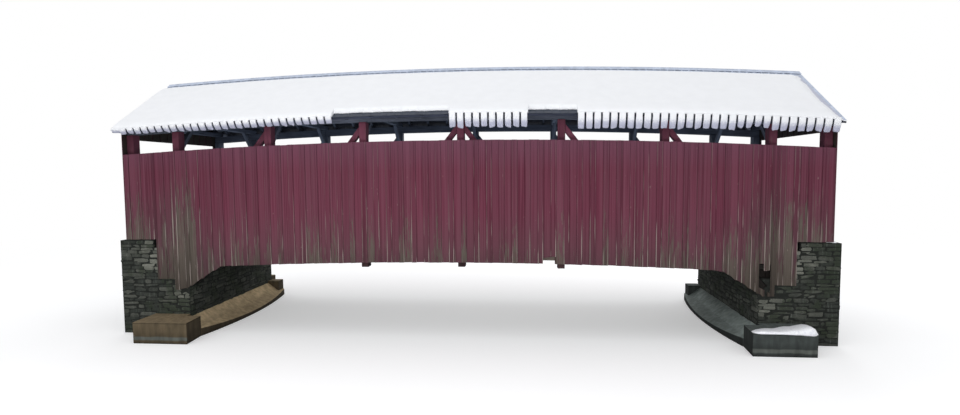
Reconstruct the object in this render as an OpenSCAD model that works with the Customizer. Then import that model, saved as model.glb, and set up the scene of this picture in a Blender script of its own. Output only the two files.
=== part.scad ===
// Single-span covered bridge: kingpost trusses with arches, board siding and a snowy gable roof.
// Millimetres. X runs along the bridge, Y across it, Z up. Z = 0 is the water at the abutments.

/* [Truss] */
// Length of one truss panel, post to post
panel = 3048; // [2400:1:3600]
// Rise of every long member at mid span over its height at the roof ends
camber_rise = 355; // [0:5:500]
// Gap at the butt joints of the long members
splice_gap = 2; // [1:0.5:5]
// Distance from the middle of the bridge to the middle of each truss
truss_y = 2490; // [2200:5:3000]
// Width of a post along the bridge
post_width = 220; // [160:5:280]
// Thickness of a post across the bridge
post_depth = 300; // [240:5:340]
// Length of a middle post below the siding's bottom edge
post_foot = 170; // [50:5:300]
// Number of posts on each side of mid span whose feet show below the siding
low_feet = 1; // [0:1:2]
// Thickness of one timber of the lower chord
chord_leaf = 110; // [70:5:120]
// Height of the lower chord
chord_height = 330; // [250:5:400]
// Width of the upper chord
plate_width = 250; // [180:5:300]
// Height of the upper chord
plate_height = 250; // [150:5:300]
// Height of the upper chord's underside at mid span
plate_z = 6735; // [6500:5:7200]
// Depth of a brace in the plane of the truss
brace_depth = 160; // [100:5:220]
// Thickness of a brace across the bridge
brace_width = 200; // [100:5:220]
// Drop of a brace's upper end below the upper chord
brace_gap = 120; // [40:5:300]
// Height of a brace's lower end above the lower chord
brace_rise = 20; // [10:5:100]
// Room between the end of a lower chord and the wall behind it
chord_room = 60; // [20:5:100]

/* [Arches] */
// Depth of an arch timber
arch_depth = 300; // [200:5:360]
// Thickness of an arch timber
arch_leaf = 130; // [80:5:150]
// Height of the arch's middle line at mid span
arch_crown = 5730; // [5200:5:5800]
// Height of the arch's middle line at its foot
arch_foot = 1650; // [1400:5:1750]
// Depth to which the arch's foot is let into the abutment
arch_bite = 130; // [80:5:200]
// Room round the arch's foot in its pocket
arch_room = 10; // [5:1:30]
// Angle that the arch's pocket takes up round the middle of the arch, in degrees
pocket_angle = 3; // [2:0.5:4]

/* [Floor] */
// Width of a floor beam
beam_width = 250; // [150:5:300]
// Height of a floor beam
beam_height = 300; // [200:5:350]
// Room between a post and the floor beam beside it
beam_gap = 5; // [2:1:20]
// Width of a floor joist
joist_width = 100; // [60:5:150]
// Height of a floor joist
joist_height = 300; // [200:5:350]
// Distance between floor joists
joist_pitch = 700; // [500:5:850]
// Room between the end of a joist and the wall behind it
joist_room = 20; // [5:5:60]
// Thickness of the deck planks
deck_height = 80; // [40:5:120]
// Room between the deck's edge and the arch
deck_room = 60; // [30:5:210]
// Side of the square wheel guards
guard_size = 150; // [100:5:200]

/* [Roof] */
// Slope of the roof in degrees
roof_pitch = 30.5; // [25:0.5:36]
// Reach of the eaves past the siding's end
roof_reach = 68; // [30:1:210]
// Reach of the ridge past the ends of the eaves
ridge_reach = 200; // [0:10:300]
// Distance from the middle of the bridge to the drip edge
eave_y = 3180; // [3050:5:3400]
// Height of the drip edge at mid span
eave_z = 6880; // [6860:5:7100]
// Thickness of the roof metal
metal = 20; // [10:1:30]
// Thickness of a roof lath
lath = 25; // [15:1:40]
// Width of a roof lath
lath_width = 90; // [50:5:150]
// Distance between roof laths, evened out from ridge to eave
lath_pitch = 430; // [300:5:600]
// Depth of a rafter
rafter_depth = 170; // [150:5:190]
// Width of a rafter
rafter_width = 60; // [40:5:100]
// Distance between rafters
rafter_pitch = 762; // [600:1:900]
// Height of a tie beam
tie_height = 140; // [100:5:140]
// Width of a tie beam
tie_width = 200; // [120:5:250]
// Distance from the outer face of a post to the end of a tie beam
tie_inset = 120; // [50:5:200]
// Thickness of a knee brace
knee_width = 120; // [80:5:160]
// Depth of a knee brace where it meets the post
knee_depth = 200; // [120:5:260]
// Drop of a knee brace's foot below the upper chord
knee_drop = 585; // [400:5:700]
// Reach of a knee brace's upper edge along the tie beam
knee_reach = 600; // [400:5:700]
// Distance from the drip edge back to the rafter's end
tail_set = 50; // [30:5:100]
// Drop of the rafter's level cut below the drip edge
tail_drop = 90; // [60:5:150]
// Distance from the drip edge back to the first lath
lath_set = 60; // [30:5:120]
// Least distance between the last rafter pair and the one at the gable
end_room = 500; // [200:10:600]
// Thickness of the board along the eave
eave_board = 25; // [15:1:40]
// Width of one side of the ridge cap
cap_width = 150; // [80:5:250]
// Thickness of the ridge cap
cap_metal = 8; // [4:1:15]

/* [Siding] */
// Height of the siding's bottom edge at mid span
siding_bottom = 2390; // [2300:5:2450]
// Height of the siding's top edge at mid span
siding_top = 6110; // [5900:5:6300]
// Distance from the end post's middle line to the siding's end
shelter = 1646; // [1600:1:1660]
// Thickness of the siding
board = 25; // [15:1:40]
// Thickness of the rails that the siding is nailed to
nailer = 50; // [40:1:80]
// Height of a siding rail
nailer_height = 120; // [80:5:150]
// Height of the first rail over the siding's bottom edge
rail_first = 170; // [100:5:200]
// Height of the second rail over the siding's bottom edge
rail_second = 1260; // [1200:5:1400]
// Height of the third rail over the siding's bottom edge
rail_third = 2310; // [2200:5:2500]
// Drop of the top rail below the siding's top edge
rail_drop = 160; // [100:5:300]
// Room between the lowest rail's end and the wall behind the chord ends
rail_room = 20; // [5:5:60]
// Distance from the abutment's face to where the siding starts to slope down
flare_reach = 1070; // [900:5:1400]
// Distance from the abutment's face back to the end of the sloping edge
flare_cover = 130; // [50:5:180]
// Distance from the abutment's face back to the first step of the siding's end
step_cover = 440; // [330:5:530]
// Distance from the abutment's face back to where the siding stops covering it
skirt_cover = 1030; // [930:5:1130]
// Height of the siding's lowest edge
flare_low = 1450; // [1300:5:1550]
// Height of the siding's edge past the first step
step_low = 1790; // [1700:5:1900]
// Height of the siding's edge over the masonry at the end
end_low = 3060; // [3000:5:3100]
// Height of the opening in the gable
portal_z = 6250; // [6000:5:6300]
// Half of the width of the opening in the gable
portal_half = 2200; // [2150:5:2300]

/* [Damage] */
// Start of the broken place in the siding's bottom edge
notch_x = 2500; // [2000:5:2600]
// Width of the broken place
notch_width = 345; // [200:5:400]
// Height of the broken place
notch_height = 200; // [100:5:300]
// Distance from the abutment's face out to the start of the hole
hole_reach = 10; // [0:5:60]
// Width of the hole
hole_width = 325; // [200:5:400]
// Height of the hole's lower edge
hole_low = 1750; // [1700:5:1900]
// Height of the hole
hole_height = 670; // [400:5:800]

/* [Abutments] */
// Distance from the end post's middle line to the abutment's face
face_set = 374; // [344:5:444]
// Distance from the siding's end to the abutment's back
back_room = 260; // [110:5:700]
// Length of the seat, from the abutment's face to the wall behind the chord ends
seat_length = 850; // [830:5:930]
// Width of the ledge that the joists lie on
joist_ledge = 300; // [200:5:400]
// Distance from the middle of the bridge to the abutment's side
abutment_y = 2800; // [2790:5:2810]
// Height of the bearing timbers under end posts and chords
bed_height = 240; // [230:5:300]
// Width of a bearing timber
bed_width = 190; // [120:5:195]
// Room between the end post and a bearing timber
bed_gap = 10; // [2:1:30]

/* [Footings] */
// Distance from the abutment's face to the middle of the bowed toe
toe_reach = 790; // [650:5:900]
// Radius of the bowed toe, seen from above
toe_radius = 14400; // [12000:100:30000]
// Height of the toe at its middle
toe_height = 120; // [80:5:200]
// Height of the sloped footing at the abutment's face
apron_height = 580; // [450:5:640]
// Share of the slope's height that its river half has
apron_sag = 0.36; // [0.2:0.01:0.5]
// Distance from the middle of the bridge to the sloped footing's near end
apron_near = 3000; // [2900:5:3200]
// Distance from the middle of the bridge to the sloped footing's far end
apron_far = 2900; // [2850:5:3200]
// Width of the kerb at the sloped footing's far end
kerb_width = 450; // [200:5:600]
// Distance from the abutment's face to the kerb's front and the near block's inner corner
kerb_reach = 460; // [300:5:465]
// Distance from the middle of the bridge to the outer faces of the blocks
block_y = 3870; // [3600:5:4000]
// Distance from the abutment's face to the near block's front corner
block_reach = 540; // [300:5:600]
// Distance from the abutment's face back to the ends of the blocks
block_cover = 1180; // [900:5:1430]
// Distance from the abutment's face back to the far block's front
block_set = 340; // [300:5:600]
// Height of the blocks and the kerb
block_height = 650; // [500:5:800]

/* [Snow] */
// Depth of the snow on the roof
snow = 120; // [60:5:200]
// Distance that the snow hangs out past the drip edge
snow_reach = 85; // [60:5:150]
// Distance from the outer face of the snow back to the curtain's face
curtain_set = 5; // [2:1:20]
// Length of the snow curtain below the drip edge
curtain = 450; // [200:5:550]
// Length of the shorter snow curtain at the left
short_curtain = 260; // [150:5:400]
// Distance from the eave's left end to the start of the curtain
bare_corner = 400; // [50:10:800]
// Distance from the curtain's end to the eave's right end
curtain_room = 30; // [20:5:100]
// Distance from the drip edge up to the snow's edge where the eave is bare
bare_set = 165; // [50:5:300]
// Start of the first bare stretch of eave
bare_start = -4020; // [-5000:10:-3000]
// End of the first bare stretch of eave
bare_end = -370; // [-1000:10:0]
// Start of the second bare stretch of eave
second_start = 2050; // [1500:10:2500]
// End of the second bare stretch of eave
second_end = 3530; // [3000:10:4000]

/* [Hidden] */

TIMBER = "#6a5a50";
PAINTED = "#6f3b46";
STONE = "#4a4a44";
CONCRETE = "#77726a";
METAL = "#2b2f3a";
SNOW = "#eef1f6";

tiny = 0.01;
// How far a cutter reaches past what it cuts
over = 1;
half_panels = 3;
// Shares of the last panel where a floor beam stands clear of the arch
beam_shares = [0.3, 0.79];
chord_relish = 40;
truss_half = half_panels * panel;
splices = [-2 * panel, 0, 2 * panel];
siding_half = truss_half + shelter;
roof_half = siding_half + roof_reach;
ridge_half = roof_half + ridge_reach;
// End of the roof's layers before they are cut along the rakes
roof_end = ridge_half + over;
face_x = truss_half - face_set;
wall_x = face_x + seat_length;
back_x = siding_half + back_room;
flare_x = face_x - flare_reach;
flare_end = face_x + flare_cover;
step_x = face_x + step_cover;
skirt_x = face_x + skirt_cover;
hole_x = face_x - hole_reach;
toe_x = face_x - toe_reach;
block_x = face_x + block_cover;
camber_step = panel / 2;
chord_z = siding_bottom + 70;
chord_top = chord_z + chord_height;
beam_top = chord_top + beam_height;
joist_top = beam_top + joist_height;
deck_top = joist_top + deck_height;
plate_top = plate_z + plate_height;
tie_top = plate_top + tie_height;
inner_y = truss_y - post_depth / 2;
outer_y = truss_y + post_depth / 2;
core = post_depth / 2 - chord_leaf;
deck_half = inner_y - arch_leaf - deck_room;
rail_y = outer_y + arch_leaf;
siding_y = rail_y + nailer;
chord_end = wall_x - chord_room;
joist_end = wall_x + joist_ledge - joist_room;
shelter_x = siding_half - post_width / 2;
beam_side = post_width / 2 + beam_width / 2 + beam_gap;
truss_posts = [for (i = [-half_panels : half_panels]) i * panel];
end_drop = drop(truss_half);
seat_z = chord_z - end_drop - bed_height;

// Half span, rise, radius and centre height of the arch's middle line
arch_half = face_x + arch_bite;
arch_rise = arch_crown - arch_foot;
arch_radius = (arch_half * arch_half + arch_rise * arch_rise) / (2 * arch_rise);
arch_centre = arch_crown - arch_radius;
arch_angle = asin(arch_half / arch_radius);

// Roof planes, as heights over the middle of the bridge
slope = tan(roof_pitch);
ridge_z = eave_z + eave_y * slope;
rafter_top_offset = -(metal + lath);
rafter_tail = eave_y - tail_set;
tail_z = eave_z - tail_drop;
rafter_rows = floor((siding_half - end_room - rafter_pitch / 2) / rafter_pitch);
lath_start = eave_y - lath_set - lath_width;
lath_rows = round(lath_start / lath_pitch);
gable_clearance = 2;
shelter_tie = siding_half - rafter_width - arch_room - tie_width / 2;
rail_rows = [
    siding_bottom + rail_first, siding_bottom + rail_second, siding_bottom + rail_third,
    siding_top - rail_drop,
];
bare_stretches = [[bare_start, bare_end], [second_start, second_end]];

// How far a long member lies below its mid-span height: a parabola, drawn as short straights
function drop_at(x) = camber_rise * pow(x / roof_half, 2);
function drop(x) =
    let (s = abs(x) / camber_step, i = floor(s), t = s - i)
    (1 - t) * drop_at(i * camber_step) + t * drop_at((i + 1) * camber_step);
function stations(x0, x1) = concat(
    [x0],
    [for (i = [ceil(x0 / camber_step + tiny) : 1 : floor(x1 / camber_step - tiny)]) i * camber_step],
    [x1]
);
function bowed_line(x0, x1, z) = [for (x = stations(x0, x1)) [x, z - drop(x)]];

// Stretches of a member that is butted over every second post
function lengths(x0, x1) =
    let (ends = concat([x0], splices, [x1]), last = len(ends) - 2, half_gap = splice_gap / 2)
    [
        for (i = [0 : last])
            [ends[i] + (i > 0 ? half_gap : 0), ends[i + 1] - (i < last ? half_gap : 0)]
    ];
function reversed(points) = [for (i = [len(points) - 1 : -1 : 0]) points[i]];
function metal_z(y) = ridge_z - y * slope;
function rake_x(y) = ridge_half - ridge_reach * y / eave_y;

module near() {
    mirror([0, 1, 0]) children();
}

module left() {
    mirror([1, 0, 0]) children();
}

module both_sides() {
    children();
    mirror([0, 1, 0]) children();
}

module both_ends() {
    children();
    mirror([1, 0, 0]) children();
}

// Plate standing along the bridge, from an outline of X and Z
module along_plate(points, y0, y1) {
    translate([0, y1, 0])
        rotate([90, 0, 0])
            linear_extrude(height = y1 - y0) polygon(points);
}

// Plate standing across the bridge, from an outline of Y and Z
module across_plate(points, x0, x1) {
    translate([x0, 0, 0])
        rotate([90, 0, 90])
            linear_extrude(height = x1 - x0) polygon(points);
}

// Straight-sided timber that follows the camber
module bowed_bar(x0, x1, z0, z1, y0, y1) {
    along_plate(concat(bowed_line(x0, x1, z1), reversed(bowed_line(x0, x1, z0))), y0, y1);
}

module spliced_bar(x0, x1, z0, z1, y0, y1) {
    for (part = lengths(x0, x1)) bowed_bar(part[0], part[1], z0, z1, y0, y1);
}

// One layer of the far roof slope between two distances from the ridge, cut along the rakes
module roof_layer(x0, x1, y0, y1, low, high, spare = 0) {
    lean = cos(roof_pitch);
    upper = [for (x = stations(x0, x1)) [x, high - drop(x) * lean]];
    lower = [for (x = stations(x0, x1)) [x, low - drop(x) * lean]];
    half0 = rake_x(y0) + spare;
    half1 = rake_x(y1) + spare;
    intersection() {
        translate([0, 0, ridge_z])
            rotate([-roof_pitch, 0, 0])
                along_plate(concat(upper, reversed(lower)), -eave_y / 2, 2 * eave_y);
        linear_extrude(height = 2 * ridge_z)
            polygon([[-half0, y0], [half0, y0], [half1, y1], [-half1, y1]]);
    }
}

module spliced_layer(y0, y1, low, high) {
    for (part = lengths(-roof_end, roof_end)) roof_layer(part[0], part[1], y0, y1, low, high);
}

// Arch timber between two angles from the vertical, over a stretch of Y
module arch_ring(from_angle, to_angle, depth, y0, y1) {
    translate([0, y1, arch_centre])
        rotate([90, 0, 0])
            rotate([0, 0, 90 - to_angle])
                rotate_extrude(angle = to_angle - from_angle, $fn = 180)
                    translate([arch_radius - depth / 2, 0])
                        square([depth, y1 - y0]);
}

module post(x, foot) {
    x0 = x - post_width / 2;
    x1 = x + post_width / 2;
    difference() {
        along_plate(
            concat(bowed_line(x0, x1, plate_z), [[x1, foot], [x0, foot]]), inner_y, outer_y
        );
        bowed_bar(x0 - over, x1 + over, chord_z, chord_top, truss_y + core, outer_y + over);
        bowed_bar(x0 - over, x1 + over, chord_z, chord_top, inner_y - over, truss_y - core);
    }
}

module shelter_post() {
    bowed_bar(
        shelter_x - post_width / 2, shelter_x + post_width / 2, joist_top, plate_z, inner_y, outer_y
    );
}

// The middle posts hang below the siding, the next ones end just under the chord
// and the end posts stand on the masonry
function foot_z(i) =
    abs(i) == half_panels ? seat_z
    : (abs(i) <= low_feet ? siding_bottom - post_foot : chord_z - chord_relish) - drop(i * panel);

module posts() {
    color(PAINTED) {
        for (i = [-half_panels : half_panels]) post(i * panel, foot_z(i));
        both_ends() shelter_post();
    }
}

// Brace from the foot of one post up to the head of the next one nearer mid span
module brace(i) {
    x_high = i * panel + post_width / 2;
    x_low = (i + 1) * panel - post_width / 2;
    run = x_low - x_high;
    head = plate_z - brace_gap - drop(x_high);
    toe = chord_top + brace_rise - drop(x_low);
    first = brace_depth * norm([run, head - toe]) / run;
    cut = brace_depth * norm([run, head - toe - first]) / run;
    along_plate(
        [[x_high, head - cut], [x_high, head], [x_low, toe + cut], [x_low, toe]],
        truss_y - brace_width / 2, truss_y + brace_width / 2
    );
}

module braces() {
    color(PAINTED)
        both_ends()
            for (i = [0 : half_panels - 1]) brace(i);
}

module lower_chord() {
    color(TIMBER) {
        spliced_bar(-chord_end, chord_end, chord_z, chord_top, truss_y + core, outer_y);
        spliced_bar(-chord_end, chord_end, chord_z, chord_top, inner_y, truss_y - core);
    }
}

module upper_chord() {
    color(PAINTED)
        spliced_bar(
            -siding_half, siding_half, plate_z, plate_top,
            truss_y - plate_width / 2, truss_y + plate_width / 2
        );
}

module arches() {
    color(TIMBER) {
        arch_ring(-arch_angle, arch_angle, arch_depth, outer_y, outer_y + arch_leaf);
        arch_ring(-arch_angle, arch_angle, arch_depth, inner_y - arch_leaf, inner_y);
    }
}

// Floor beams stand beside the posts and between them, clear of the arch where it crosses
module floor_beams() {
    inner_panels = [for (i = [0 : half_panels - 2]) each [i * panel + beam_side, (i + 0.5) * panel]];
    last = (half_panels - 1) * panel;
    outer_panel = concat([last + beam_side], [for (share = beam_shares) last + share * panel]);
    color(TIMBER)
        both_ends()
            for (x = concat(inner_panels, outer_panel))
                bowed_bar(
                    x - beam_width / 2, x + beam_width / 2, chord_top, beam_top, -outer_y, outer_y
                );
}

module floor_joists() {
    color(TIMBER)
        both_sides()
            for (i = [0 : 2])
                translate([0, (i + 0.5) * joist_pitch, 0])
                    spliced_bar(
                        -joist_end, joist_end, beam_top, joist_top, -joist_width / 2, joist_width / 2
                    );
}

module deck() {
    color(TIMBER) spliced_bar(-siding_half, siding_half, joist_top, deck_top, -deck_half, deck_half);
}

module wheel_guards() {
    color(TIMBER)
        both_sides()
            spliced_bar(
                -siding_half, siding_half, deck_top, deck_top + guard_size,
                deck_half - guard_size, deck_half
            );
}

module tie_beam(x) {
    half = outer_y - tie_inset;
    bowed_bar(x - tie_width / 2, x + tie_width / 2, plate_top, tie_top, -half, half);
}

module tie_beams() {
    color(TIMBER) {
        for (x = truss_posts) tie_beam(x);
        both_ends() tie_beam(shelter_tie);
    }
}

// Short diagonal from a post up to the tie beam above it
module knee_brace(x) {
    foot = plate_z - knee_drop - drop(x);
    top = plate_top - drop(abs(x) + knee_width / 2);
    heel = knee_reach * (top - foot) / (top - foot - knee_depth);
    across_plate(
        [
            [inner_y, foot], [inner_y, foot + knee_depth],
            [inner_y - knee_reach, top], [inner_y - heel, top],
        ],
        x - knee_width / 2, x + knee_width / 2
    );
}

module knee_braces() {
    color(TIMBER)
        both_sides()
            for (x = truss_posts) knee_brace(x);
}

// Rafter of the far slope, cut level where it sits on the upper chord and under its tail
module rafter(x, width) {
    fall = drop(x);
    lean = cos(roof_pitch);
    top = rafter_top_offset / lean - fall;
    under = (rafter_top_offset - rafter_depth) / lean - fall;
    seat = plate_top - drop(max(abs(x) - width / 2, 0));
    tail = tail_z - fall;
    across_plate(
        [
            [0, metal_z(0) + top], [rafter_tail, metal_z(rafter_tail) + top],
            [rafter_tail, tail], [(ridge_z + under - tail) / slope, tail],
            [truss_y + plate_width / 2, metal_z(truss_y + plate_width / 2) + under],
            [truss_y + plate_width / 2, seat],
            [(ridge_z + under - seat) / slope, seat], [0, metal_z(0) + under],
        ],
        x - width / 2, x + width / 2
    );
}

module rafters() {
    color(TIMBER)
        both_ends() {
            for (i = [0 : rafter_rows]) rafter((i + 0.5) * rafter_pitch, rafter_width);
            rafter(siding_half - rafter_width / 2, rafter_width);
        }
}

module roof_laths() {
    color(TIMBER)
        for (i = [0 : lath_rows]) {
            y = lath_start * (1 - i / lath_rows);
            spliced_layer(y, y + lath_width, -metal - lath, -metal);
        }
}

module roof_metal() {
    color(METAL) spliced_layer(0, eave_y, -metal, 0);
}

module ridge_cap() {
    color(METAL) both_sides() spliced_layer(0, cap_width, 0, cap_metal);
}

module eave_board() {
    board_top = metal_z(rafter_tail + eave_board) - (metal + lath) / cos(roof_pitch);
    color(METAL)
        spliced_bar(
            -roof_half, roof_half, tail_z, board_top, rafter_tail, rafter_tail + eave_board
        );
}

// Rails for the siding, held off the posts by blocks as thick as the arch
module siding_rails() {
    color(TIMBER)
        for (z = rail_rows) {
            // The lowest rail ends short of the wall behind the chord ends
            half = z < end_low ? wall_x - rail_room : siding_half;
            bowed_bar(
                -half, half, z - nailer_height / 2, z + nailer_height / 2, rail_y, siding_y
            );
            difference() {
                for (x = concat(truss_posts, [-shelter_x, shelter_x]))
                    if (abs(x) < skirt_x || z > end_low)
                        bowed_bar(
                            x - post_width / 2, x + post_width / 2,
                            z - nailer_height / 2, z + nailer_height / 2, outer_y, rail_y
                        );
                arch_ring(
                    -arch_angle, arch_angle, arch_depth + arch_room, outer_y - over, rail_y + over
                );
            }
        }
}

module siding_middle() {
    bowed_bar(-flare_x, flare_x, siding_bottom, siding_top, siding_y, siding_y + board);
}

// End of the siding: the edge slopes down over the arch's foot and steps up over the masonry
module siding_end() {
    edge = [
        [siding_half, end_low], [skirt_x, end_low], [skirt_x, step_low], [step_x, step_low],
        [step_x, flare_low], [flare_end, flare_low], [flare_x, siding_bottom - drop(flare_x)],
    ];
    along_plate(concat(bowed_line(flare_x, siding_half, siding_top), edge), siding_y, siding_y + board);
}

module notch() {
    translate([notch_x, siding_y - over, siding_bottom - notch_height])
        cube([notch_width, board + 2 * over, 2 * notch_height - drop(notch_x)]);
}

module hole() {
    translate([hole_x, siding_y - over, hole_low]) cube([hole_width, board + 2 * over, hole_height]);
}

module gable() {
    fall = drop(roof_half) + gable_clearance - rafter_top_offset / cos(roof_pitch);
    half = siding_y + board;
    color(PAINTED)
        across_plate(
            [
                [-half, portal_z], [half, portal_z], [half, metal_z(half) - fall],
                [0, ridge_z - fall], [-half, metal_z(half) - fall],
            ],
            siding_half, siding_half + board
        );
}

module portal_jamb() {
    translate([siding_half, portal_half, end_low])
        cube([board, siding_y + board - portal_half, portal_z - end_low]);
}

module portal_jambs() {
    color(PAINTED) both_ends() both_sides() portal_jamb();
}

// Masonry with a seat for the chords, a ledge for the joists and pockets for the arches
module abutment() {
    ledge = wall_x + joist_ledge;
    outline = concat(
        [[back_x, 0], [face_x, 0], [face_x, seat_z], [wall_x, seat_z]],
        bowed_line(wall_x, ledge, beam_top),
        bowed_line(ledge, back_x, joist_top)
    );
    color(STONE)
        difference() {
            along_plate(outline, -abutment_y, abutment_y);
            both_sides()
                arch_ring(
                    arch_angle - pocket_angle, arch_angle, arch_depth + 2 * arch_room,
                    inner_y - arch_leaf - arch_room, abutment_y + over
                );
        }
}

// Hollow slope down to a toe that bows towards the river
module apron() {
    middle = toe_height + apron_sag * (apron_height - toe_height);
    intersection() {
        along_plate(
            [
                [toe_x - toe_height, 0], [toe_x - toe_height, toe_height], [toe_x, toe_height],
                [toe_x + toe_reach / 2, middle], [face_x, apron_height], [face_x, 0],
            ],
            -apron_near, apron_far
        );
        translate([toe_x + toe_radius, 0, -over])
            cylinder(r = toe_radius, h = block_height, $fn = 360);
    }
}

// Block at the near end of the footing, which splays out a little towards the river
module near_block() {
    linear_extrude(height = block_height)
        polygon([
            [face_x - kerb_reach, -apron_near], [face_x, -apron_near], [face_x, -abutment_y],
            [block_x, -abutment_y], [block_x, -block_y], [face_x - block_reach, -block_y],
        ]);
}

module footing() {
    color(CONCRETE) {
        apron();
        near_block();
        translate([face_x - kerb_reach, apron_far - kerb_width, 0])
            cube([kerb_reach, kerb_width, block_height]);
        translate([face_x + block_set, abutment_y, 0])
            cube([block_cover - block_set, block_y - abutment_y, block_height]);
    }
}

module bed_timber(x0) {
    along_plate(
        concat(bowed_line(x0, x0 + bed_width, chord_z), [[x0 + bed_width, seat_z], [x0, seat_z]]),
        -outer_y, outer_y
    );
}

module bed_timbers() {
    color(TIMBER) {
        bed_timber(truss_half - post_width / 2 - bed_width - bed_gap);
        bed_timber(truss_half + post_width / 2 + bed_gap);
    }
}

// Curtain of snow below the far drip edge
module snow_curtain(x0, x1, length) {
    bowed_bar(
        x0, x1, eave_z - length, eave_z + snow / 4,
        eave_y + curtain_set, eave_y + snow_reach - curtain_set
    );
}

// Place along the far drip edge where the snow has fallen off
module bare_eave(x0, x1) {
    translate([x0, eave_y - bare_set, 0]) cube([x1 - x0, bare_set + 2 * snow_reach, 2 * ridge_z]);
}

// Snow on the far slope, cut back for the ridge cap
module snow_blanket() {
    difference() {
        roof_layer(-roof_end, roof_end, 0, eave_y + snow_reach, 0, snow);
        roof_layer(-roof_end, roof_end, -over, cap_width, -metal, cap_metal, over / 2);
    }
}

// Snow with curtains that hang below the drip edge, and with its bare stretches
module curtained_snow() {
    first = bare_stretches[0];
    difference() {
        union() {
            snow_blanket();
            snow_curtain(bare_corner - roof_half, first[0] + snow, short_curtain);
            snow_curtain(first[1] - snow, roof_half - curtain_room, curtain);
        }
        for (stretch = bare_stretches) bare_eave(stretch[0], stretch[1]);
    }
}

left() abutment();  // abutment_left
abutment();  // abutment_right
left() footing();  // footing_left
footing();  // footing_right
left() bed_timbers();  // bed_timbers_left
bed_timbers();  // bed_timbers_right
near() lower_chord();  // lower_chord_near
lower_chord();  // lower_chord_far
near() upper_chord();  // upper_chord_near
upper_chord();  // upper_chord_far
near() posts();  // posts_near
posts();  // posts_far
near() braces();  // braces_near
braces();  // braces_far
near() arches();  // arches_near
arches();  // arches_far
floor_beams();
floor_joists();
deck();
wheel_guards();
tie_beams();
knee_braces();
near() rafters();  // rafters_near
rafters();  // rafters_far
near() roof_laths();  // roof_laths_near
roof_laths();  // roof_laths_far
near() roof_metal();  // roof_near
roof_metal();  // roof_far
ridge_cap();
near() eave_board();  // eave_board_near
eave_board();  // eave_board_far
near() siding_rails();  // siding_rails_near
siding_rails();  // siding_rails_far
color(PAINTED) near() difference() { siding_middle(); notch(); }  // siding_near_middle
color(PAINTED) near() left() siding_end();  // siding_near_left
color(PAINTED) near() difference() { siding_end(); hole(); }  // siding_near_right
color(PAINTED) siding_middle();  // siding_far_middle
color(PAINTED) left() siding_end();  // siding_far_left
color(PAINTED) siding_end();  // siding_far_right
left() gable();  // gable_left
gable();  // gable_right
portal_jambs();
color(SNOW) near() curtained_snow();  // roof_snow_near
color(SNOW) snow_blanket();  // roof_snow_far
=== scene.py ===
"""Looks of a covered timber bridge under fresh snow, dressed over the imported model."""
import math

import bpy
import numpy as np
from bpy.props import FloatProperty, FloatVectorProperty, PointerProperty
from bpy.types import Operator, Panel, PropertyGroup
from mathutils import Matrix, Vector


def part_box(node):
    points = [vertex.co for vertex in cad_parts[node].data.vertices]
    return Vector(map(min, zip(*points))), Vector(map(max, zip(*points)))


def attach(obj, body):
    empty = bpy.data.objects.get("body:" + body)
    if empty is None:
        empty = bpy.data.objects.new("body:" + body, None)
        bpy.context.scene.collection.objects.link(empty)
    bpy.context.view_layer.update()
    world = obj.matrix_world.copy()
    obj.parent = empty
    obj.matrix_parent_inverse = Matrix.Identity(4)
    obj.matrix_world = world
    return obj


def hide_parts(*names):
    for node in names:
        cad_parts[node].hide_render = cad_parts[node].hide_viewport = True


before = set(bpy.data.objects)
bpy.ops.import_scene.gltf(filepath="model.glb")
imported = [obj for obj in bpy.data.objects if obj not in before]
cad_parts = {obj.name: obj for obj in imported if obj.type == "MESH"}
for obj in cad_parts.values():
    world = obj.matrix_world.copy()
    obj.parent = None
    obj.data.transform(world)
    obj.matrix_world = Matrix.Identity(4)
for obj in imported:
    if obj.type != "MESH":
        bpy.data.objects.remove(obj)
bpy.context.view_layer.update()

bl_info = {
    "name": "Snowy covered bridge",
    "version": (1, 0, 0),
    "blender": (4, 5, 0),
    "location": "3D View > Sidebar > Bridge",
    "description": "Boards, roofing, snow, stones and finishes for a covered timber bridge",
    "category": "Object",
}

X, Y, Z = range(3)


def limit(node, axis, end=1):
    """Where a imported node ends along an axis, in metres: its high side, or its low side with end 0."""
    return round(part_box(node)[end][axis], 4)


# Roof, in metres like all that follows: heights are those at mid span, before the camber
CAMBER_RISE = 0.355
PANEL = 3.048
CAMBER_STEP = PANEL / 2
ROOF_HALF = limit("eave_board_near", X)
RIDGE_REACH = limit("ridge_cap", X) - ROOF_HALF
EAVE_Y = limit("roof_far", Y)
EAVE_Z = 6.880
PITCH = math.radians(30.5)
SLOPE = math.tan(PITCH)
LEAN = math.cos(PITCH)
RIDGE_Z = EAVE_Z + EAVE_Y * SLOPE
SHEET = 0.020
LATH = 0.025
CAP_Y = limit("ridge_cap", Y)
CAP_THICK = 0.008
FIRST_RIB = 0.180
# Siding: its lower edge past the flare runs down over the arch's foot and up in two steps
SIDING_HALF = limit("siding_far_right", X)
SIDING_Y = limit("siding_far_middle", Y, 0)
SIDING_LOW = 2.390
SIDING_HIGH = limit("siding_far_middle", Z)
FLARE_X = limit("siding_far_middle", X)
JAMB_LOW = limit("portal_jambs", Z, 0)
STEPS_X = (9.210, 9.800)
EDGE_X = (FLARE_X, 8.900, 9.209, 9.211, 9.799, 9.801, SIDING_HALF)
EDGE_Z = (2.211, 1.450, 1.450, 1.790, 1.790, JAMB_LOW, JAMB_LOW)
RAIL_ROWS = (2.560, 3.650, 4.700, 5.950)
FIRST_BATTEN = 0.104
PORTAL_Z = limit("portal_jambs", Z)
PORTAL_HALF = 2.200
# Broken places of the near siding
NOTCH_X = (2.500, 2.840)
NOTCH_TOP = 2.590
HOLE_X = (8.761, 9.086)
HOLE_Z = (1.750, 2.420)
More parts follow.
